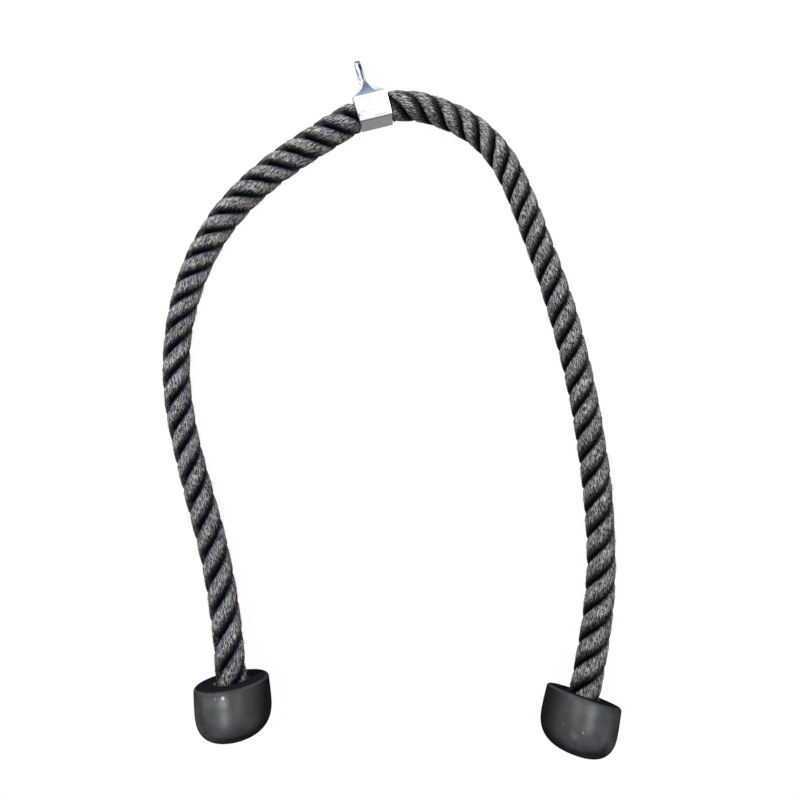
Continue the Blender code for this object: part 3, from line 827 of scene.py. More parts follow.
def sleeve_sections():
    """(y, x middle, half width, half depth, corner) from the sleeve's lower face to its upper one."""
    sections = []
    for step in range(FILLET_STEPS + 1):
        angle = math.pi / 2 * step / FILLET_STEPS
        inset = CLAMP_EDGE_RADIUS * (1.0 - math.sin(angle))
        y = -SLEEVE_TOP + CLAMP_EDGE_RADIUS * (1.0 - math.cos(angle))
        corner = CLAMP_EDGE_RADIUS * (1.0 + math.sin(angle)) / 2
        sections.append((y, 0.0, MOUTH_X - inset, CLAMP_MIDDLE - inset, corner))
    spread = SLEEVE_SPREAD / 2
    sections.append((SLEEVE_TOP, -spread, MOUTH_X + spread, CLAMP_MIDDLE, CLAMP_EDGE_RADIUS))
    return sections


def neck_sections():
    """The trumpet-shaped neck, from the sleeve's full width down to the plate."""
    sections = []
    half_plate = EYE_THICKNESS / 2
    for step in range(1, FLARE_STEPS + 1):
        share = step / FLARE_STEPS
        height = FLARE_HEIGHT * share
        opening = (1.0 - share) ** FLARE_SHAPE
        spread = SLEEVE_SPREAD / 2 * opening
        half_width = half_plate + (MOUTH_X - half_plate) * opening + spread
        taper = math.sin(math.pi / 2 * share)
        half_depth = CLAMP_MIDDLE + (NECK_DEPTH / 2 - CLAMP_MIDDLE) * taper
        corner = CLAMP_EDGE_RADIUS + (EYE_EDGE_RADIUS - CLAMP_EDGE_RADIUS) * share
        corner += NECK_ROUNDING * smooth_share(share / NECK_ROUNDING_FADE) * (1.0 - share)
        corner = min(corner, half_width * NECK_CORNER_SHARE)
        sections.append((SLEEVE_TOP + height, eye_middle(height) - spread, half_width, half_depth, corner))
    return sections


def plate_sections():
    """The flat plate with its round top."""
    sections = []
    half_plate = EYE_THICKNESS / 2
    middle_steps = FLARE_STEPS // 2
    for step in range(1, middle_steps + 1):
        share = step / middle_steps
        height = FLARE_HEIGHT + (EYE_CENTRE - FLARE_HEIGHT) * share
        half_depth = NECK_DEPTH / 2 + (EYE_RADIUS - NECK_DEPTH / 2) * smooth_share(share)
        sections.append((height, half_plate, half_depth))
    for step in range(1, DISC_STEPS + 1):
        angle = math.radians(EYE_TIP_DEG) * step / DISC_STEPS
        height = EYE_CENTRE + EYE_RADIUS * math.sin(angle)
        edge = min((EYE_HEIGHT - height) / EYE_TIP_ROUNDING, 1.0)
        narrow = EYE_TIP_ROUNDING * (1.0 - math.sqrt(edge * (2.0 - edge)))
        sections.append((height, half_plate - narrow, EYE_RADIUS * math.cos(angle)))
    sections.append((EYE_HEIGHT, half_plate - EYE_TIP_ROUNDING, EYE_EDGE_RADIUS * EYE_TIP_SHARE))
    return [(SLEEVE_TOP + h, eye_middle(h), a, b, min(EYE_EDGE_RADIUS, a * PLATE_CORNER_SHARE))
            for h, a, b in sections]


def passage_ring(x, growth):
    """The rope's squeezed section at x, grown by the flare of the mouth."""
    outline = rounded_ring(
        PASSAGE_HALF_HEIGHT + growth, PASSAGE_HALF_DEPTH + growth, PASSAGE_CORNER_RADIUS + growth
    )
    return [(x, a, CLAMP_MIDDLE + b) for a, b in outline]


def make_passage_cutter():
    """The way through the sleeve, with a rounded mouth at each end."""
    half = [(MOUTH_X + MOUTH_FLARE_LENGTH, MOUTH_FLARE * 2.0)]
    for step in range(FILLET_STEPS + 1):
        share = step / FILLET_STEPS
        half.append((MOUTH_X - MOUTH_FLARE_LENGTH * share, MOUTH_FLARE * (1.0 - share) ** 2))
    rings = [passage_ring(x, growth) for x, growth in half]
    rings += [passage_ring(-x, growth) for x, growth in reversed(half)]
    return loft("cut_passage", rings)


def make_eye_hole_cutter():
    """The hole's edges are rounded, so that a snap hook does not wear on them."""
    half_plate = EYE_THICKNESS / 2
    rounding = EYE_HOLE_EDGE_RADIUS
    start = math.radians(HOLE_EDGE_START_DEG)
    side = []
    for step in range(FILLET_STEPS + 1):
        angle = start + (math.pi / 2 - start) * step / FILLET_STEPS
        radius = HOLE_RADIUS + rounding * (1.0 - math.sin(angle))
        side.append((radius, half_plate - rounding * (1.0 - math.cos(angle))))
    first_radius, first_height = side[0]
    lead_in = (first_radius + rounding * math.cos(start), first_height + rounding * math.sin(start))
    side.insert(0, lead_in)
    profile = [(0.0, lead_in[1])] + side + [(r, -z) for r, z in reversed(side)] + [(0.0, -lead_in[1])]
    cutter = turned("cut_eye_hole", profile, steps=HOLE_STEPS)
    tilt = Matrix.Rotation(math.radians(EYE_LEAN_DEG), 4, "Z")
    place = Matrix.Translation((eye_middle(EYE_CENTRE), SLEEVE_TOP + EYE_CENTRE, CLAMP_MIDDLE))
    cutter.matrix_world = place @ tilt @ Matrix.Rotation(math.pi / 2, 4, "Y")
    return cutter


def painted_sky_borders(height):
    """Where the neck's painted sky reflection ends on the left and on the right, at a height over the sleeve.
    """
    low = max(1.0 - height / PAINTED_SKY_FOOT_HEIGHT, 0.0)
    on_neck = PAINTED_SKY_LEFT - PAINTED_SKY_FOOT * min(low, 1.2) ** PAINTED_SKY_FOOT_SHAPE
    tip = PAINTED_SKY_TIP * smooth_share((height - PAINTED_SKY_TIP_HEIGHT) / PAINTED_SKY_TIP_FADE)
    on_plate = eye_middle(height) - PAINTED_SKY_PLATE_SHIFT - tip
    plate_share = smooth_share((height - PAINTED_SKY_FOOT_HEIGHT) / PAINTED_SKY_PLATE_FADE)
    left = on_neck * (1.0 - plate_share) + on_plate * plate_share
    opened = PAINTED_SKY_OPEN * smooth_share((height - PAINTED_SKY_OPEN_HEIGHT) / PAINTED_SKY_OPEN_FADE)
    right = PAINTED_SKY_RIGHT + PAINTED_SKY_RIGHT_SLOPE * height + PAINTED_SKY_RIGHT_BEND * height**2 + opened
    return left, right


def mark_neck(mesh):
    """Writes how far each point lies inside the left and the right border of the neck's painted sky
    reflection.
    """
    inside = []
    for vertex in mesh.vertices:
        left, right = painted_sky_borders(vertex.co.y - SLEEVE_TOP)
        inside.append((vertex.co.x - left, right - vertex.co.x))
    from_left, from_right = zip(*inside)
    write_attributes(mesh, {"from_left": from_left, "from_right": from_right})


def make_clamp(material):
    """Sleeve, neck and eye in one forging, as fine and smooth as the polished metal is."""
    rings = []
    for y, middle, half_width, half_depth, corner in sleeve_sections() + neck_sections() + plate_sections():
        outline = rounded_ring(half_width, half_depth, corner)
        rings.append([(middle + a, y, CLAMP_MIDDLE + b) for a, b in outline])
    clamp = loft("polished_clamp", rings)
    cut_and_apply(clamp, [make_passage_cutter(), make_eye_hole_cutter()])
    soften(clamp)
    mark_neck(clamp.data)
    weighted = clamp.modifiers.new("even_shading", "WEIGHTED_NORMAL")
    weighted.keep_sharp = True
    give_only(clamp, material)
    return clamp


def outer_profile(fillet_steps, dome_steps):
    """The rubber end's outside as (radius, depth behind the face), from the rim to the dome's tip."""
    points = []
    for step in range(fillet_steps + 1):
        angle = math.pi / 2 * step / fillet_steps
        radius = END_FACE_RADIUS - END_RIM_RADIUS * (1.0 - math.sin(angle))
        points.append((radius, END_RIM_RADIUS * (1.0 - math.cos(angle))))
    for step in range(1, fillet_steps + 1):
        share = step / fillet_steps
        radius = END_FACE_RADIUS + (END_RADIUS - END_FACE_RADIUS) * math.sin(math.pi / 2 * share)
        points.append((radius, END_RIM_RADIUS + (END_BELLY - END_RIM_RADIUS) * share))
    for step in range(1, dome_steps):
        angle = math.pi / 2 * step / dome_steps
        reach = math.sin(angle) ** (2.0 / END_DOME_SHAPE)
        radius = END_RADIUS * math.cos(angle) ** (2.0 / END_DOME_SHAPE)
        points.append((radius, END_BELLY + (END_LENGTH - END_BELLY) * reach))
    return points + [(0.0, END_LENGTH)]


def make_rubber_end(side, frame, material):
    """A moulded rubber stop with its bore, and the pocket behind for the washer and the ferrule."""
    inside = [
        (0.0, POCKET_BOTTOM),
        (POCKET_RADIUS, POCKET_BOTTOM),
        (POCKET_RADIUS, BORE_LENGTH),
        (BORE_RADIUS, BORE_LENGTH),
        (BORE_RADIUS, BORE_LIP),
        (BORE_RADIUS + BORE_LIP * LIP_SHOULDER[0], BORE_LIP * LIP_SHOULDER[1]),
        (BORE_RADIUS + BORE_LIP, 0.0),
        (END_FACE_RADIUS - END_RIM_RADIUS * FACE_RIM_SHARE, 0.0),
    ]
    profile = [(radius, -depth) for radius, depth in inside + outer_profile(RIM_STEPS, DOME_STEPS)]
    end = turned("moulded_end_" + side, profile)
    write_attributes(end.data, {"mould_place": [vertex.co for vertex in end.data.vertices]})
    end.data.transform(frame)
    soften(end)
    end.data.materials.append(material)
    return end


# Materials

class Sheet:
    """The node tree of a material, a group or the world, with short names for the nodes that they share."""

    def __init__(self, tree):
        self.tree = tree

    def put(self, value, socket):
        """Links a socket's value into a socket, or sets a number, vector or colour on it."""
        if isinstance(value, bpy.types.NodeSocket):
            self.tree.links.new(value, socket)
        else:
            socket.default_value = (*value, 1.0) if socket.type == "RGBA" else value

    def node(self, kind, sockets=None, **settings):
        """A node with its settings, and what goes into its sockets by name or number."""
        made = self.tree.nodes.new(kind)
        for name, value in settings.items():
            setattr(made, name, value)
        for name, value in (sockets or {}).items():
            self.put(value, made.inputs[name])
        return made

    def coordinates(self, name):
        return self.node("ShaderNodeTexCoord").outputs[name]

    def attribute(self, name, output="Fac"):
        return self.node("ShaderNodeAttribute", attribute_name=name).outputs[output]

    def split(self, vector):
        return self.node("ShaderNodeSeparateXYZ", {0: vector}).outputs

    def maths(self, operation, *values, clamp=False):
        node = self.node("ShaderNodeMath", dict(enumerate(values)), operation=operation, use_clamp=clamp)
        return node.outputs[0]

    def times(self, first, second):
        return self.maths("MULTIPLY", first, second)

    def plus(self, first, second):
        return self.maths("ADD", first, second)

    def fade(self, value, start, end, at_start=0.0, at_end=1.0):
        """Goes from one number to another while a value goes from start to end, and stays there."""
        sockets = {"Value": value, "From Min": start, "From Max": end, "To Min": at_start, "To Max": at_end}
        return self.node("ShaderNodeMapRange", sockets).outputs["Result"]

    def mix(self, share, first, second):
        sockets = {0: share, 6: first, 7: second}
        return self.node("ShaderNodeMix", sockets, data_type="RGBA").outputs[2]

    def ramp(self, source, stops):
        """A colour ramp from (place, colour) stops."""
        node = self.node("ShaderNodeValToRGB", {"Fac": source})
        elements = node.color_ramp.elements
        while len(elements) < len(stops):
            elements.new(0.5)
        for element, (place, colour) in zip(elements, stops):
            element.position = place
            element.color = (*colour, 1.0)
        return node.outputs["Color"]

    def noise(self, place, scale, detail=2.0, roughness=0.5):
        sockets = {"Vector": place, "Scale": scale, "Detail": detail, "Roughness": roughness}
        return self.node("ShaderNodeTexNoise", sockets).outputs["Fac"]

    def stretched(self, place, scale):
        return self.node("ShaderNodeMapping", {"Vector": place, "Scale": scale}).outputs["Vector"]

    def group(self, group, place, **values):
        """A shared effect's outputs, with this material's own values."""
        sockets = {name.replace("_", " "): value for name, value in values.items()}
        return self.node("ShaderNodeGroup", {"Place": place, **sockets}, node_tree=group).outputs

    def spots(self, place, spots, colour, spot_colour):
        """Soft round marks on a colour, from (spot, radius, fade, strength)."""
        for spot, radius, width, strength in spots:
            away = self.node("ShaderNodeVectorMath", {0: place, 1: spot}, operation="DISTANCE")
            share = self.fade(away.outputs["Value"], radius, radius + width, strength, 0.0)
            colour = self.mix(share, colour, spot_colour)
        return colour


class Finish(Sheet):
    """A new material and its Principled shader."""

    def __init__(self, name, viewport_colour):
        self.material = bpy.data.materials.new(name)
        self.material.use_nodes = True
        self.material.diffuse_color = (*viewport_colour, 1.0)
        super().__init__(self.material.node_tree)
        self.shader = self.tree.nodes["Principled BSDF"]

    def feed(self, **values):
        """Sets or links the shader's sockets."""
        for name, value in values.items():
            self.put(value, self.shader.inputs[name.replace("_", " ")])

    def bump(self, height, distance, strength):
        sockets = {"Height": height, "Distance": distance, "Strength": strength}
        self.feed(Normal=self.node("ShaderNodeBump", sockets).outputs["Normal"])


def shifted(ends, by):
    """Both ends of a fade, moved along."""
    return by + ends[0], by + ends[1]


def new_group(name, inputs, outputs):
    """An empty node group as a sheet, its input sockets, and the node that its outputs go to."""
    group = bpy.data.node_groups.new(name, "ShaderNodeTree")
    for socket, kind, value in inputs:
        made = group.interface.new_socket(name=socket, in_out="INPUT", socket_type=kind)
        if value is not None:
            made.default_value = value
    for socket in outputs:
        group.interface.new_socket(name=socket, in_out="OUTPUT", socket_type="NodeSocketFloat")
    sheet = Sheet(group)
    return sheet, sheet.node("NodeGroupInput").outputs, sheet.node("NodeGroupOutput").inputs


def make_speck_group():
    """Fine specks and a slow cloudiness: dust on rubber, pits on metal."""
    sheet, ins, outs = new_group(
        "specks_and_clouds",
        [("Place", "NodeSocketVector", None), ("Speck Size", "NodeSocketFloat", 900.0),
         ("Cloud Size", "NodeSocketFloat", 60.0), ("Speck Amount", "NodeSocketFloat", 0.3)],
        ["Specks", "Clouds", "Grain"],
    )
    fine = sheet.noise(ins["Place"], ins["Speck Size"], 1.0)
    level = sheet.maths("SUBTRACT", 0.86, sheet.times(ins["Speck Amount"], 0.35))
    slow = sheet.noise(ins["Place"], ins["Cloud Size"], 4.0, 0.6)
    sheet.put(sheet.fade(fine, level, sheet.plus(level, 0.06)), outs["Specks"])
    sheet.put(sheet.fade(slow, 0.3, 0.7), outs["Clouds"])
    sheet.put(fine, outs["Grain"])
    return sheet.tree


def make_scratch_group():
    """Fine parallel lines, as a press, a brush or a lathe leaves them."""
    sheet, ins, outs = new_group(
        "tool_lines",
        [("Place", "NodeSocketVector", None), ("Stretch", "NodeSocketVector", (40.0, 2500.0, 2500.0))],
        ["Lines"],
    )
    scaled = sheet.node("ShaderNodeVectorMath", {0: ins["Place"], 1: ins["Stretch"]}, operation="MULTIPLY")
    sheet.put(sheet.noise(scaled.outputs[0], 1.0, 3.0, 0.65), outs["Lines"])
    return sheet.tree


def make_rope_material():
    """Black filament yarns: pale streaks along them, part worn fibre and part painted glint, grooves and
    end-facing flanks painted dark as painted shade, and a painted blue sky tint on the flank by the groove.
    """
    rope = Finish("black_filament_rope", (0.05, 0.05, 0.055))
    place = rope.attribute("yarn_place", "Vector")
    depth = rope.attribute("yarn_depth")
    tone = rope.attribute("yarn_tone")
    sky_tint = rope.attribute("yarn_sky_tint")
    streaks = rope.noise(rope.stretched(place, (1350.0, 1350.0, 260.0)), 1.0, 2.0, 0.6)
    grain = rope.noise(rope.stretched(place, (2600.0, 2600.0, 900.0)), 1.0, 1.0)
    wear_and_shade = rope.noise(place, 28.0)
    # pale streaks along the yarns: part worn pale fibre, part painted glint of the shiny filaments
    pale = rope.fade(streaks, 0.45, 0.62)
    pale = rope.times(pale, rope.fade(tone, 0.0, 1.0, 0.65, 1.3))
    pale = rope.times(pale, rope.fade(wear_and_shade, 0.3, 0.7, 0.85, 1.12))
    pale = rope.maths("MULTIPLY", pale, rope.fade(grain, 0.36, 0.60, 0.12, 1.35), clamp=True)
    fibre = rope.ramp(grain, [(0.32, (0.014, 0.015, 0.017)), (0.68, (0.13, 0.13, 0.132))])
    colour = rope.mix(pale, fibre, (0.74, 0.74, 0.735))
    # painted sky light: the flank by the groove on the clamp's side is tinted blue
    sky_tint_colour = rope.mix(pale, (0.052, 0.072, 0.130), (0.18, 0.225, 0.35))
    colour = rope.mix(rope.fade(sky_tint, 0.03, 0.42, 0.0, 0.85), colour, sky_tint_colour)
    # painted shade: the grooves and the flank towards the end are painted near black, with a ragged edge from
    # the streaks
    ragged = rope.maths("MULTIPLY_ADD", rope.fade(streaks, 0.38, 0.68, -0.5, 0.9), depth, depth)
    groove = rope.mix(rope.fade(depth, 0.0, 0.35), (0.0010, 0.0010, 0.0012), (0.008, 0.008, 0.009))
    colour = rope.mix(rope.fade(ragged, 0.01, 1.0), groove, colour)
    rope.feed(Base_Color=colour, Roughness=rope.fade(pale, 0.0, 1.0, 0.62, 0.46))
    rope.feed(Specular_IOR_Level=0.06, Sheen_Weight=0.02, Sheen_Roughness=0.4)
    rope.bump(rope.plus(streaks, rope.times(grain, 0.5)), 0.00035, 0.7)
    return rope.material


def painted_neck_reflections(steel, lines, height, steep, front, bordered):
    """The neck's colours, all painted light: a painted blue sky reflection between its borders with a painted
    highlight band near the tip, painted white lamp reflections on the flanks beside it, and a grey painted
    shade on its outline.
    """
    high_up = steel.fade(height, SLEEVE_TOP, SLEEVE_TOP + EYE_HEIGHT)
    # painted sky reflection: pale low on the neck, dark navy towards the tip, with a pale painted highlight
    # band near it
    painted_sky = steel.ramp(high_up, [
        (0.0, (0.74, 0.93, 1.0)), (0.17, (0.60, 0.75, 0.92)), (0.32, (0.32, 0.41, 0.56)),
        (0.52, (0.20, 0.26, 0.39)), (0.66, (0.06, 0.08, 0.14)), (0.80, (0.05, 0.07, 0.13)),
        (0.84, (0.45, 0.55, 0.70)), (0.88, (0.03, 0.045, 0.10)),
    ])
    painted_sky = steel.mix(steel.fade(lines, 0.52, 0.66, 0.0, 0.35), painted_sky, (0.22, 0.30, 0.44))
    # painted white lamp reflections on the front outside the borders
    neck = steel.mix(steel.times(bordered, front), (0.90, 0.91, 0.93), painted_sky)
    # painted shade: a grey line where the surface turns away from the front
    return steel.mix(steel.fade(steep, 0.50, 0.82, 0.85, 0.0), neck, (0.20, 0.20, 0.21))


def press_lines(steel, height, clouds):
    """Two lines that the press left on the sleeve along the rope, the lower one darker, both broken up."""
    bent = steel.plus(height, steel.times(clouds, PRESS_LINE_WANDER))
    shares = []
    for middle, strength in PRESS_LINES:
        away = steel.maths("ABSOLUTE", steel.maths("SUBTRACT", bent, middle))
        line = steel.fade(away, 0.0, PRESS_LINE_WIDTH, strength, 0.0)
        shares.append(steel.times(line, steel.fade(clouds, 0.2, 0.8)))
    return steel.plus(*shares)


def make_clamp_material(specks, tool_lines):
    """Polished steel: white front, a duller lower wall painted grey as painted shade, painted reflections on
    the neck, painted shade lines on edges, press lines along the rope.
    """
    steel = Finish("polished_metal", (0.75, 0.76, 0.78))
    place = steel.coordinates("Object")
    _, height, depth = steel.split(place)
    lines = steel.group(tool_lines, place, Stretch=(35.0, 1900.0, 1900.0))["Lines"]
    marks = steel.group(specks, place, Speck_Size=700.0, Cloud_Size=120.0, Speck_Amount=0.45)
    low_wall = steel.fade(height, *LOW_WALL_FADE)
    forged = steel.fade(height, *shifted(FORGED_FADE, SLEEVE_TOP))
    steep = steel.maths("ABSOLUTE", steel.split(steel.coordinates("Normal"))["Z"])
    bordered = steel.times(steel.fade(steel.attribute("from_left"), *BORDER_FADE),
                           steel.fade(steel.attribute("from_right"), *BORDER_FADE))
    front = steel.fade(steep, 0.30, 0.50)

    # painted shade: the lower wall, which faces down, is tinted darker grey; its rougher finish is set
    # further below
    tint = steel.mix(low_wall, (0.90, 0.88, 0.865), (0.60, 0.57, 0.545))
    tint = steel.mix(forged, tint, painted_neck_reflections(steel, lines, height, steep, front, bordered))
    tint = steel.mix(steel.times(marks["Specks"], 0.6), tint, (0.2, 0.19, 0.18))
    press = press_lines(steel, height, marks["Clouds"])
    tint = steel.mix(press, tint, (0.30, 0.28, 0.27))
    # painted shade: a grey line along the sleeve's edges where its surface turns away
    on_sleeve = steel.fade(height, *shifted(SLEEVE_EDGE_FADE, SLEEVE_TOP))
    edge_line = steel.times(on_sleeve, steel.fade(steep, 0.72, 0.95, 0.75, 0.0))
    tint = steel.mix(edge_line, tint, (0.26, 0.25, 0.25))
    tint = steel.spots(place, CLAMP_MARKS, tint, (0.03, 0.022, 0.02))
    rough_wall = steel.times(low_wall, steel.fade(marks["Grain"], 0.45, 0.60, 0.0, 0.65))
    tint = steel.mix(rough_wall, tint, (0.21, 0.19, 0.18))
    # painted shade: a dark line along the edge between the front and the lower wall
    front_edge = steel.fade(depth, *shifted(FRONT_EDGE_FADE, 2 * CLAMP_MIDDLE), 0.0, 0.85)
    tint = steel.mix(steel.times(low_wall, front_edge), tint, (0.22, 0.20, 0.20))

    dull = steel.fade(lines, 0.3, 0.7, 0.16, 0.30)
    for mask, share in ((low_wall, 0.18), (marks["Clouds"], 0.08), (forged, 0.03)):
        dull = steel.plus(dull, steel.times(mask, share))
    # the painted white flanks are made mostly not metallic, so that their painted white shows
    flank = steel.times(forged, steel.times(front, steel.fade(bordered, 0.0, 1.0, 1.0, 0.0)))
    steel.feed(Base_Color=tint, Roughness=dull, Metallic=steel.fade(flank, 0.0, 1.0, 1.0, 0.25))
    steel.bump(steel.maths("SUBTRACT", steel.times(lines, 0.35), press), 0.00003, 0.25)
    return steel.material


def make_rubber_material(side, leg, specks):
    """Satin black rubber with a bloom of dust and pale specks; a rim painted lighter as a painted reflection,
    a face painted dark blue, a dome end and an inner side painted darker as painted shade, painted highlights
    on the bore's lip and in spots.
    """
    rubber = Finish("satin_rubber_" + side, (0.05, 0.055, 0.06))
    place = rubber.attribute("mould_place", "Vector")
    marks = rubber.group(specks, place, Speck_Size=620.0, Cloud_Size=45.0, Speck_Amount=0.35)
    clouds = marks["Clouds"]
    x, y, z = rubber.split(place)
    across = rubber.maths("POWER", rubber.plus(rubber.times(x, x), rubber.times(y, y)), 0.5)
    near_face = rubber.fade(z, *NEAR_FACE_FADE)
    inner = rubber.fade(rubber.times(y, leg["sign"]), *INNER_SIDE_FADE, 0.0, 0.80)

    colour = rubber.ramp(clouds, [(0.15, (0.040, 0.043, 0.043)), (0.85, (0.112, 0.116, 0.110))])
    # painted shade: the dome end, away from the face, is darker, with a ragged edge
    ragged = rubber.maths("MULTIPLY_ADD", clouds, DOME_DARK_WANDER, z)
    colour = rubber.mix(rubber.fade(ragged, *DOME_DARK_FADE, 0.0, 0.55), colour, (0.016, 0.016, 0.015))
    # painted shade: the side towards the other leg is darker
    colour = rubber.mix(inner, colour, (0.012, 0.013, 0.015))
    # painted shade: the face is coloured dark blue, as shade lit by the sky
    colour = rubber.mix(near_face, colour, (0.017, 0.020, 0.028))
    # painted reflection: a lighter blue-grey band on the rim's fillet, broken up by the clouds
    rim = rubber.times(rubber.fade(across, *shifted(RIM_REFLECTION_FADE, END_FACE_RADIUS)), near_face)
    rim = rubber.times(rim, rubber.fade(clouds, 0.2, 0.8, 0.35, 0.75))
    colour = rubber.mix(rim, colour, (0.110, 0.115, 0.124))
    from_line = rubber.maths("ABSOLUTE", rubber.plus(z, PARTING_LINE_DEPTH))
    colour = rubber.mix(rubber.fade(from_line, *PARTING_LINE_FADE, 0.45, 0.0), colour, (0.012, 0.012, 0.014))
    colour = rubber.mix(rubber.times(marks["Specks"], 0.5), colour, (0.30, 0.30, 0.30))
    # painted highlight: a pale ring on the bore's lip, broken up by the grain
    lip = rubber.fade(across, *(BORE_RADIUS + BORE_LIP * share for share in LIP_HIGHLIGHT_FADE))
    lip = rubber.times(rubber.times(lip, near_face), rubber.fade(marks["Grain"], 0.4, 0.6))
    colour = rubber.mix(rubber.times(lip, 0.8), colour, (0.22, 0.22, 0.225))
    # pale spots: rubbed ones, and painted highlights by the rim and on the bore's lip
    colour = rubber.spots(place, leg["scuffs_and_highlights"], colour, (0.80, 0.79, 0.75))

    edge = rubber.node("ShaderNodeLayerWeight", {"Blend": 0.5}).outputs["Facing"]
    satin = rubber.times(rubber.fade(z, *SATIN_FADE), rubber.fade(edge, 0.15, 0.45, 1.0, 0.0))
    satin = rubber.times(satin, rubber.fade(inner, 0.0, 0.8, 1.0, 0.25))
    rubber.feed(Base_Color=colour, Roughness=rubber.fade(clouds, 0.0, 1.0, 0.62, 0.74), Coat_Weight=satin)
    rubber.feed(Specular_IOR_Level=0.0, Coat_Roughness=0.40, Coat_IOR=1.8)
    rubber.bump(marks["Grain"], 0.00006, 0.35)
    return rubber.material


def make_plated_material(name, low, high, roughness, specks, tool_lines):
    """Plated or bare metal on the hidden fittings, with turning lines and a little dirt."""
    metal = Finish(name, high)
    place = metal.coordinates("Object")
    lines = metal.group(tool_lines, place, Stretch=(900.0, 900.0, 900.0))["Lines"]
    marks = metal.group(specks, place, Speck_Size=900.0, Cloud_Size=200.0, Speck_Amount=0.4)
    colour = metal.mix(marks["Clouds"], low, high)
    colour = metal.mix(metal.times(marks["Specks"], 0.5), colour, (0.15, 0.14, 0.13))
    dull = metal.fade(lines, 0.3, 0.7, roughness - 0.07, roughness + 0.09)
    metal.feed(Base_Color=colour, Roughness=dull, Metallic=1.0)
    metal.bump(lines, 0.00004, 0.4)
    return metal.material


# Studio

def shown_as_background(sheet):
    """Near 1 for what the camera or glass sees, and for what a mirror sees; 0 for the light on things."""
    path = sheet.node("ShaderNodeLightPath").outputs
    return sheet.maths("MAXIMUM", path["Is Camera Ray"], path["Is Transmission Ray"]), path["Is Glossy Ray"]


def make_floor():
    """A pale floor that takes shadows, and looks white to the camera and to metal."""
    mesh = bpy.data.meshes.new("studio_floor")
    corners = [(-FLOOR_HALF, -FLOOR_HALF, 0), (FLOOR_HALF, -FLOOR_HALF, 0), (FLOOR_HALF, FLOOR_HALF, 0),
               (-FLOOR_HALF, FLOOR_HALF, 0)]
    mesh.from_pydata(corners, [], [(0, 1, 2, 3)])
    floor = add_object("studio_floor", mesh)
    pale = Finish("pale_floor", (0.9, 0.9, 0.9))
    soft = pale.ramp(pale.noise(pale.coordinates("Object"), 3.0, 1.0),
                     [(0.0, (0.86, 0.86, 0.86)), (1.0, (0.90, 0.90, 0.90))])
    seen, mirrored = shown_as_background(pale)
    pale.feed(Base_Color=pale.mix(seen, FLOOR_BOUNCE, soft), Roughness=0.9, Specular_IOR_Level=0.0)
    glow = {"Color": pale.mix(mirrored, WHITE, FLOOR_IN_METAL), "Strength": FLOOR_WHITE}
    white = pale.node("ShaderNodeEmission", glow).outputs["Emission"]
    share = pale.times(pale.maths("MAXIMUM", seen, mirrored), FLOOR_WHITE_SHARE)
    blend = pale.node("ShaderNodeMixShader", {"Fac": share, 1: pale.shader.outputs["BSDF"], 2: white})
    pale.put(blend.outputs["Shader"], pale.tree.nodes["Material Output"].inputs["Surface"])
    mesh.materials.append(pale.material)


def make_world():
    """A soft sky-like dome: bright overhead, blue-grey lower down. What the camera sees of it is white."""
    world = bpy.data.worlds.new("studio_dome")
    bpy.context.scene.world = world
    world.use_nodes = True
    sky = Sheet(world.node_tree)
    height = sky.split(sky.coordinates("Generated"))["Z"]
    dome = sky.ramp(height, [
        (0.0, (0.05, 0.06, 0.08)), (0.25, (0.09, 0.11, 0.15)), (0.6, (0.16, 0.20, 0.27)),
        (1.0, (0.24, 0.28, 0.35)),
    ])
    in_metal = sky.ramp(height, [
        (0.0, (0.95, 0.95, 0.96)), (0.32, (0.88, 0.89, 0.92)), (0.55, (0.13, 0.19, 0.31)),
        (0.8, (0.10, 0.15, 0.26)), (1.0, (0.17, 0.23, 0.35)),
    ])
    seen, mirrored = shown_as_background(sky)
    background = sky.tree.nodes["Background"].inputs
    sky.put(sky.mix(seen, sky.mix(mirrored, dome, in_metal), WHITE), background["Color"])
    dimmed = sky.fade(mirrored, 0.0, 1.0, SKY_LIGHT_SHARE, SKY_MIRRORED_SHARE)
    sky.put(sky.maths("MAXIMUM", seen, dimmed), background["Strength"])


def make_softbox(name, place, aim, size, power, colour=LAMP_WARM):
    """A softbox of a width and height, with its middle at a place and its face towards its aim."""
    light = bpy.data.lights.new(name, "AREA")
    light.shape = "RECTANGLE"
    light.size, light.size_y = size
    light.energy = power
    light.color = colour
    lamp = add_object(name, light)
    lamp.location = place
    lamp.rotation_euler = (Vector(aim) - Vector(place)).to_track_quat("-Z", "Y").to_euler()


def studio_place(right, up, height):
    """A place given from the camera's foot, along the picture's right and up, and its height."""
    turn = math.radians(CAMERA_TURN_DEG)
    x = CAMERA_PLACE[0] + right * math.cos(turn) - up * math.sin(turn)
    y = CAMERA_PLACE[1] + right * math.sin(turn) + up * math.cos(turn)
    return (x, y, height)


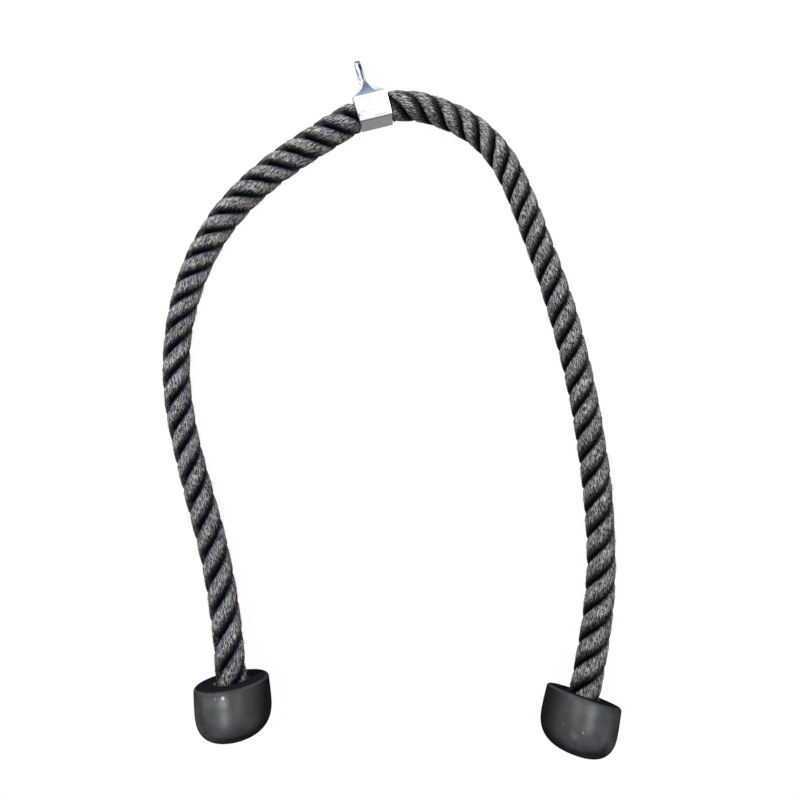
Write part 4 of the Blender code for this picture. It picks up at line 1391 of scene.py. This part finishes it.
def make_lights():
    """Two high lamps, two beyond the clamp, a dim one that the clamp mirrors, two for the rubber's gloss."""
    make_softbox("high_left_softbox", studio_place(-0.34, 0.10, 0.85), LAMP_AIM, (0.26, 0.26), 1.35)
    make_softbox("high_right_softbox", studio_place(0.41, 0.10, 0.85), LAMP_AIM, (0.26, 0.26), 0.8)
    make_softbox("left_softbox", studio_place(-0.64, 0.62, 0.46), LAMP_AIM, (0.30, 0.30), 6.6)
    make_softbox("right_softbox", studio_place(0.62, 0.62, 0.42), LAMP_AIM, (0.30, 0.30), 3.9)
    make_softbox("overhead_softbox", (0.065, 0.43, 1.18), (0.0, 0.0, 0.028), (0.42, 0.42), 0.82, WHITE)
    for name, place, aim, power in (
        ("low_left_softbox", (-0.27, -0.45, 0.85), (-0.15, -0.33, 0.05), 1.2),
        ("low_right_softbox", (0.33, -0.16, 0.85), (0.17, -0.31, 0.05), 0.8),
    ):
        make_softbox(name, studio_place(*place), studio_place(*aim), (0.08, 0.10), power)


def make_camera():
    camera = bpy.data.cameras.new("camera")
    camera.lens = LENS_MM
    camera.sensor_width = SENSOR_MM
    camera.shift_y = CAMERA_SHIFT
    camera.clip_start = CLIP_START
    camera.clip_end = CLIP_END
    obj = add_object("camera", camera)
    obj.location = CAMERA_PLACE
    obj.rotation_euler = (0.0, 0.0, math.radians(CAMERA_TURN_DEG))
    bpy.context.scene.camera = obj


# The whole rope

def make_leg(side, leg, rope_material, specks):
    """The rope from the clamp's middle to its tail, and the rubber end on it."""
    line, gripped, free, face, axis = leg_centreline(leg)
    rope, hairs, path, length = make_rope(side, leg, line, gripped, free, rope_material)
    for piece in (rope, hairs):
        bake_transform(piece)
    stood_for = ["rope_bend_" + side, "rope_leg_" + side, "rope_end_" + side]
    if side == "left":
        stood_for.append("rope_in_clamp")
    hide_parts(*stood_for)
    end = make_rubber_end(side, end_frame(face, axis), make_rubber_material(side, leg, specks))
    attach(end, side + "_leg")
    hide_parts("rubber_end_" + side)


def main():
    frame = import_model()
    bpy.context.scene.view_settings.view_transform = "Standard"
    make_camera()
    make_world()
    make_lights()
    make_floor()

    specks = make_speck_group()
    tool_lines = make_scratch_group()
    rope_material = make_rope_material()
    make_leg("left", LEFT_LEG, rope_material, specks)
    make_leg("right", RIGHT_LEG, rope_material, specks)

    clamp = make_clamp(make_clamp_material(specks, tool_lines))
    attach(clamp, "clamp")
    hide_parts("eye_clamp")

    effects = (specks, tool_lines)
    zinc = make_plated_material("zinc_plate", (0.45, 0.45, 0.42), (0.64, 0.64, 0.60), 0.42, *effects)
    aluminium = make_plated_material("bare_aluminium", (0.60, 0.60, 0.61), (0.76, 0.76, 0.77), 0.36, *effects)
    for side in ("left", "right"):
        give_only(frame["nodes"]["washer_" + side], zinc)
        give_only(frame["nodes"]["ferrule_" + side], aluminium)

    bpy.context.view_layer.update()


main()
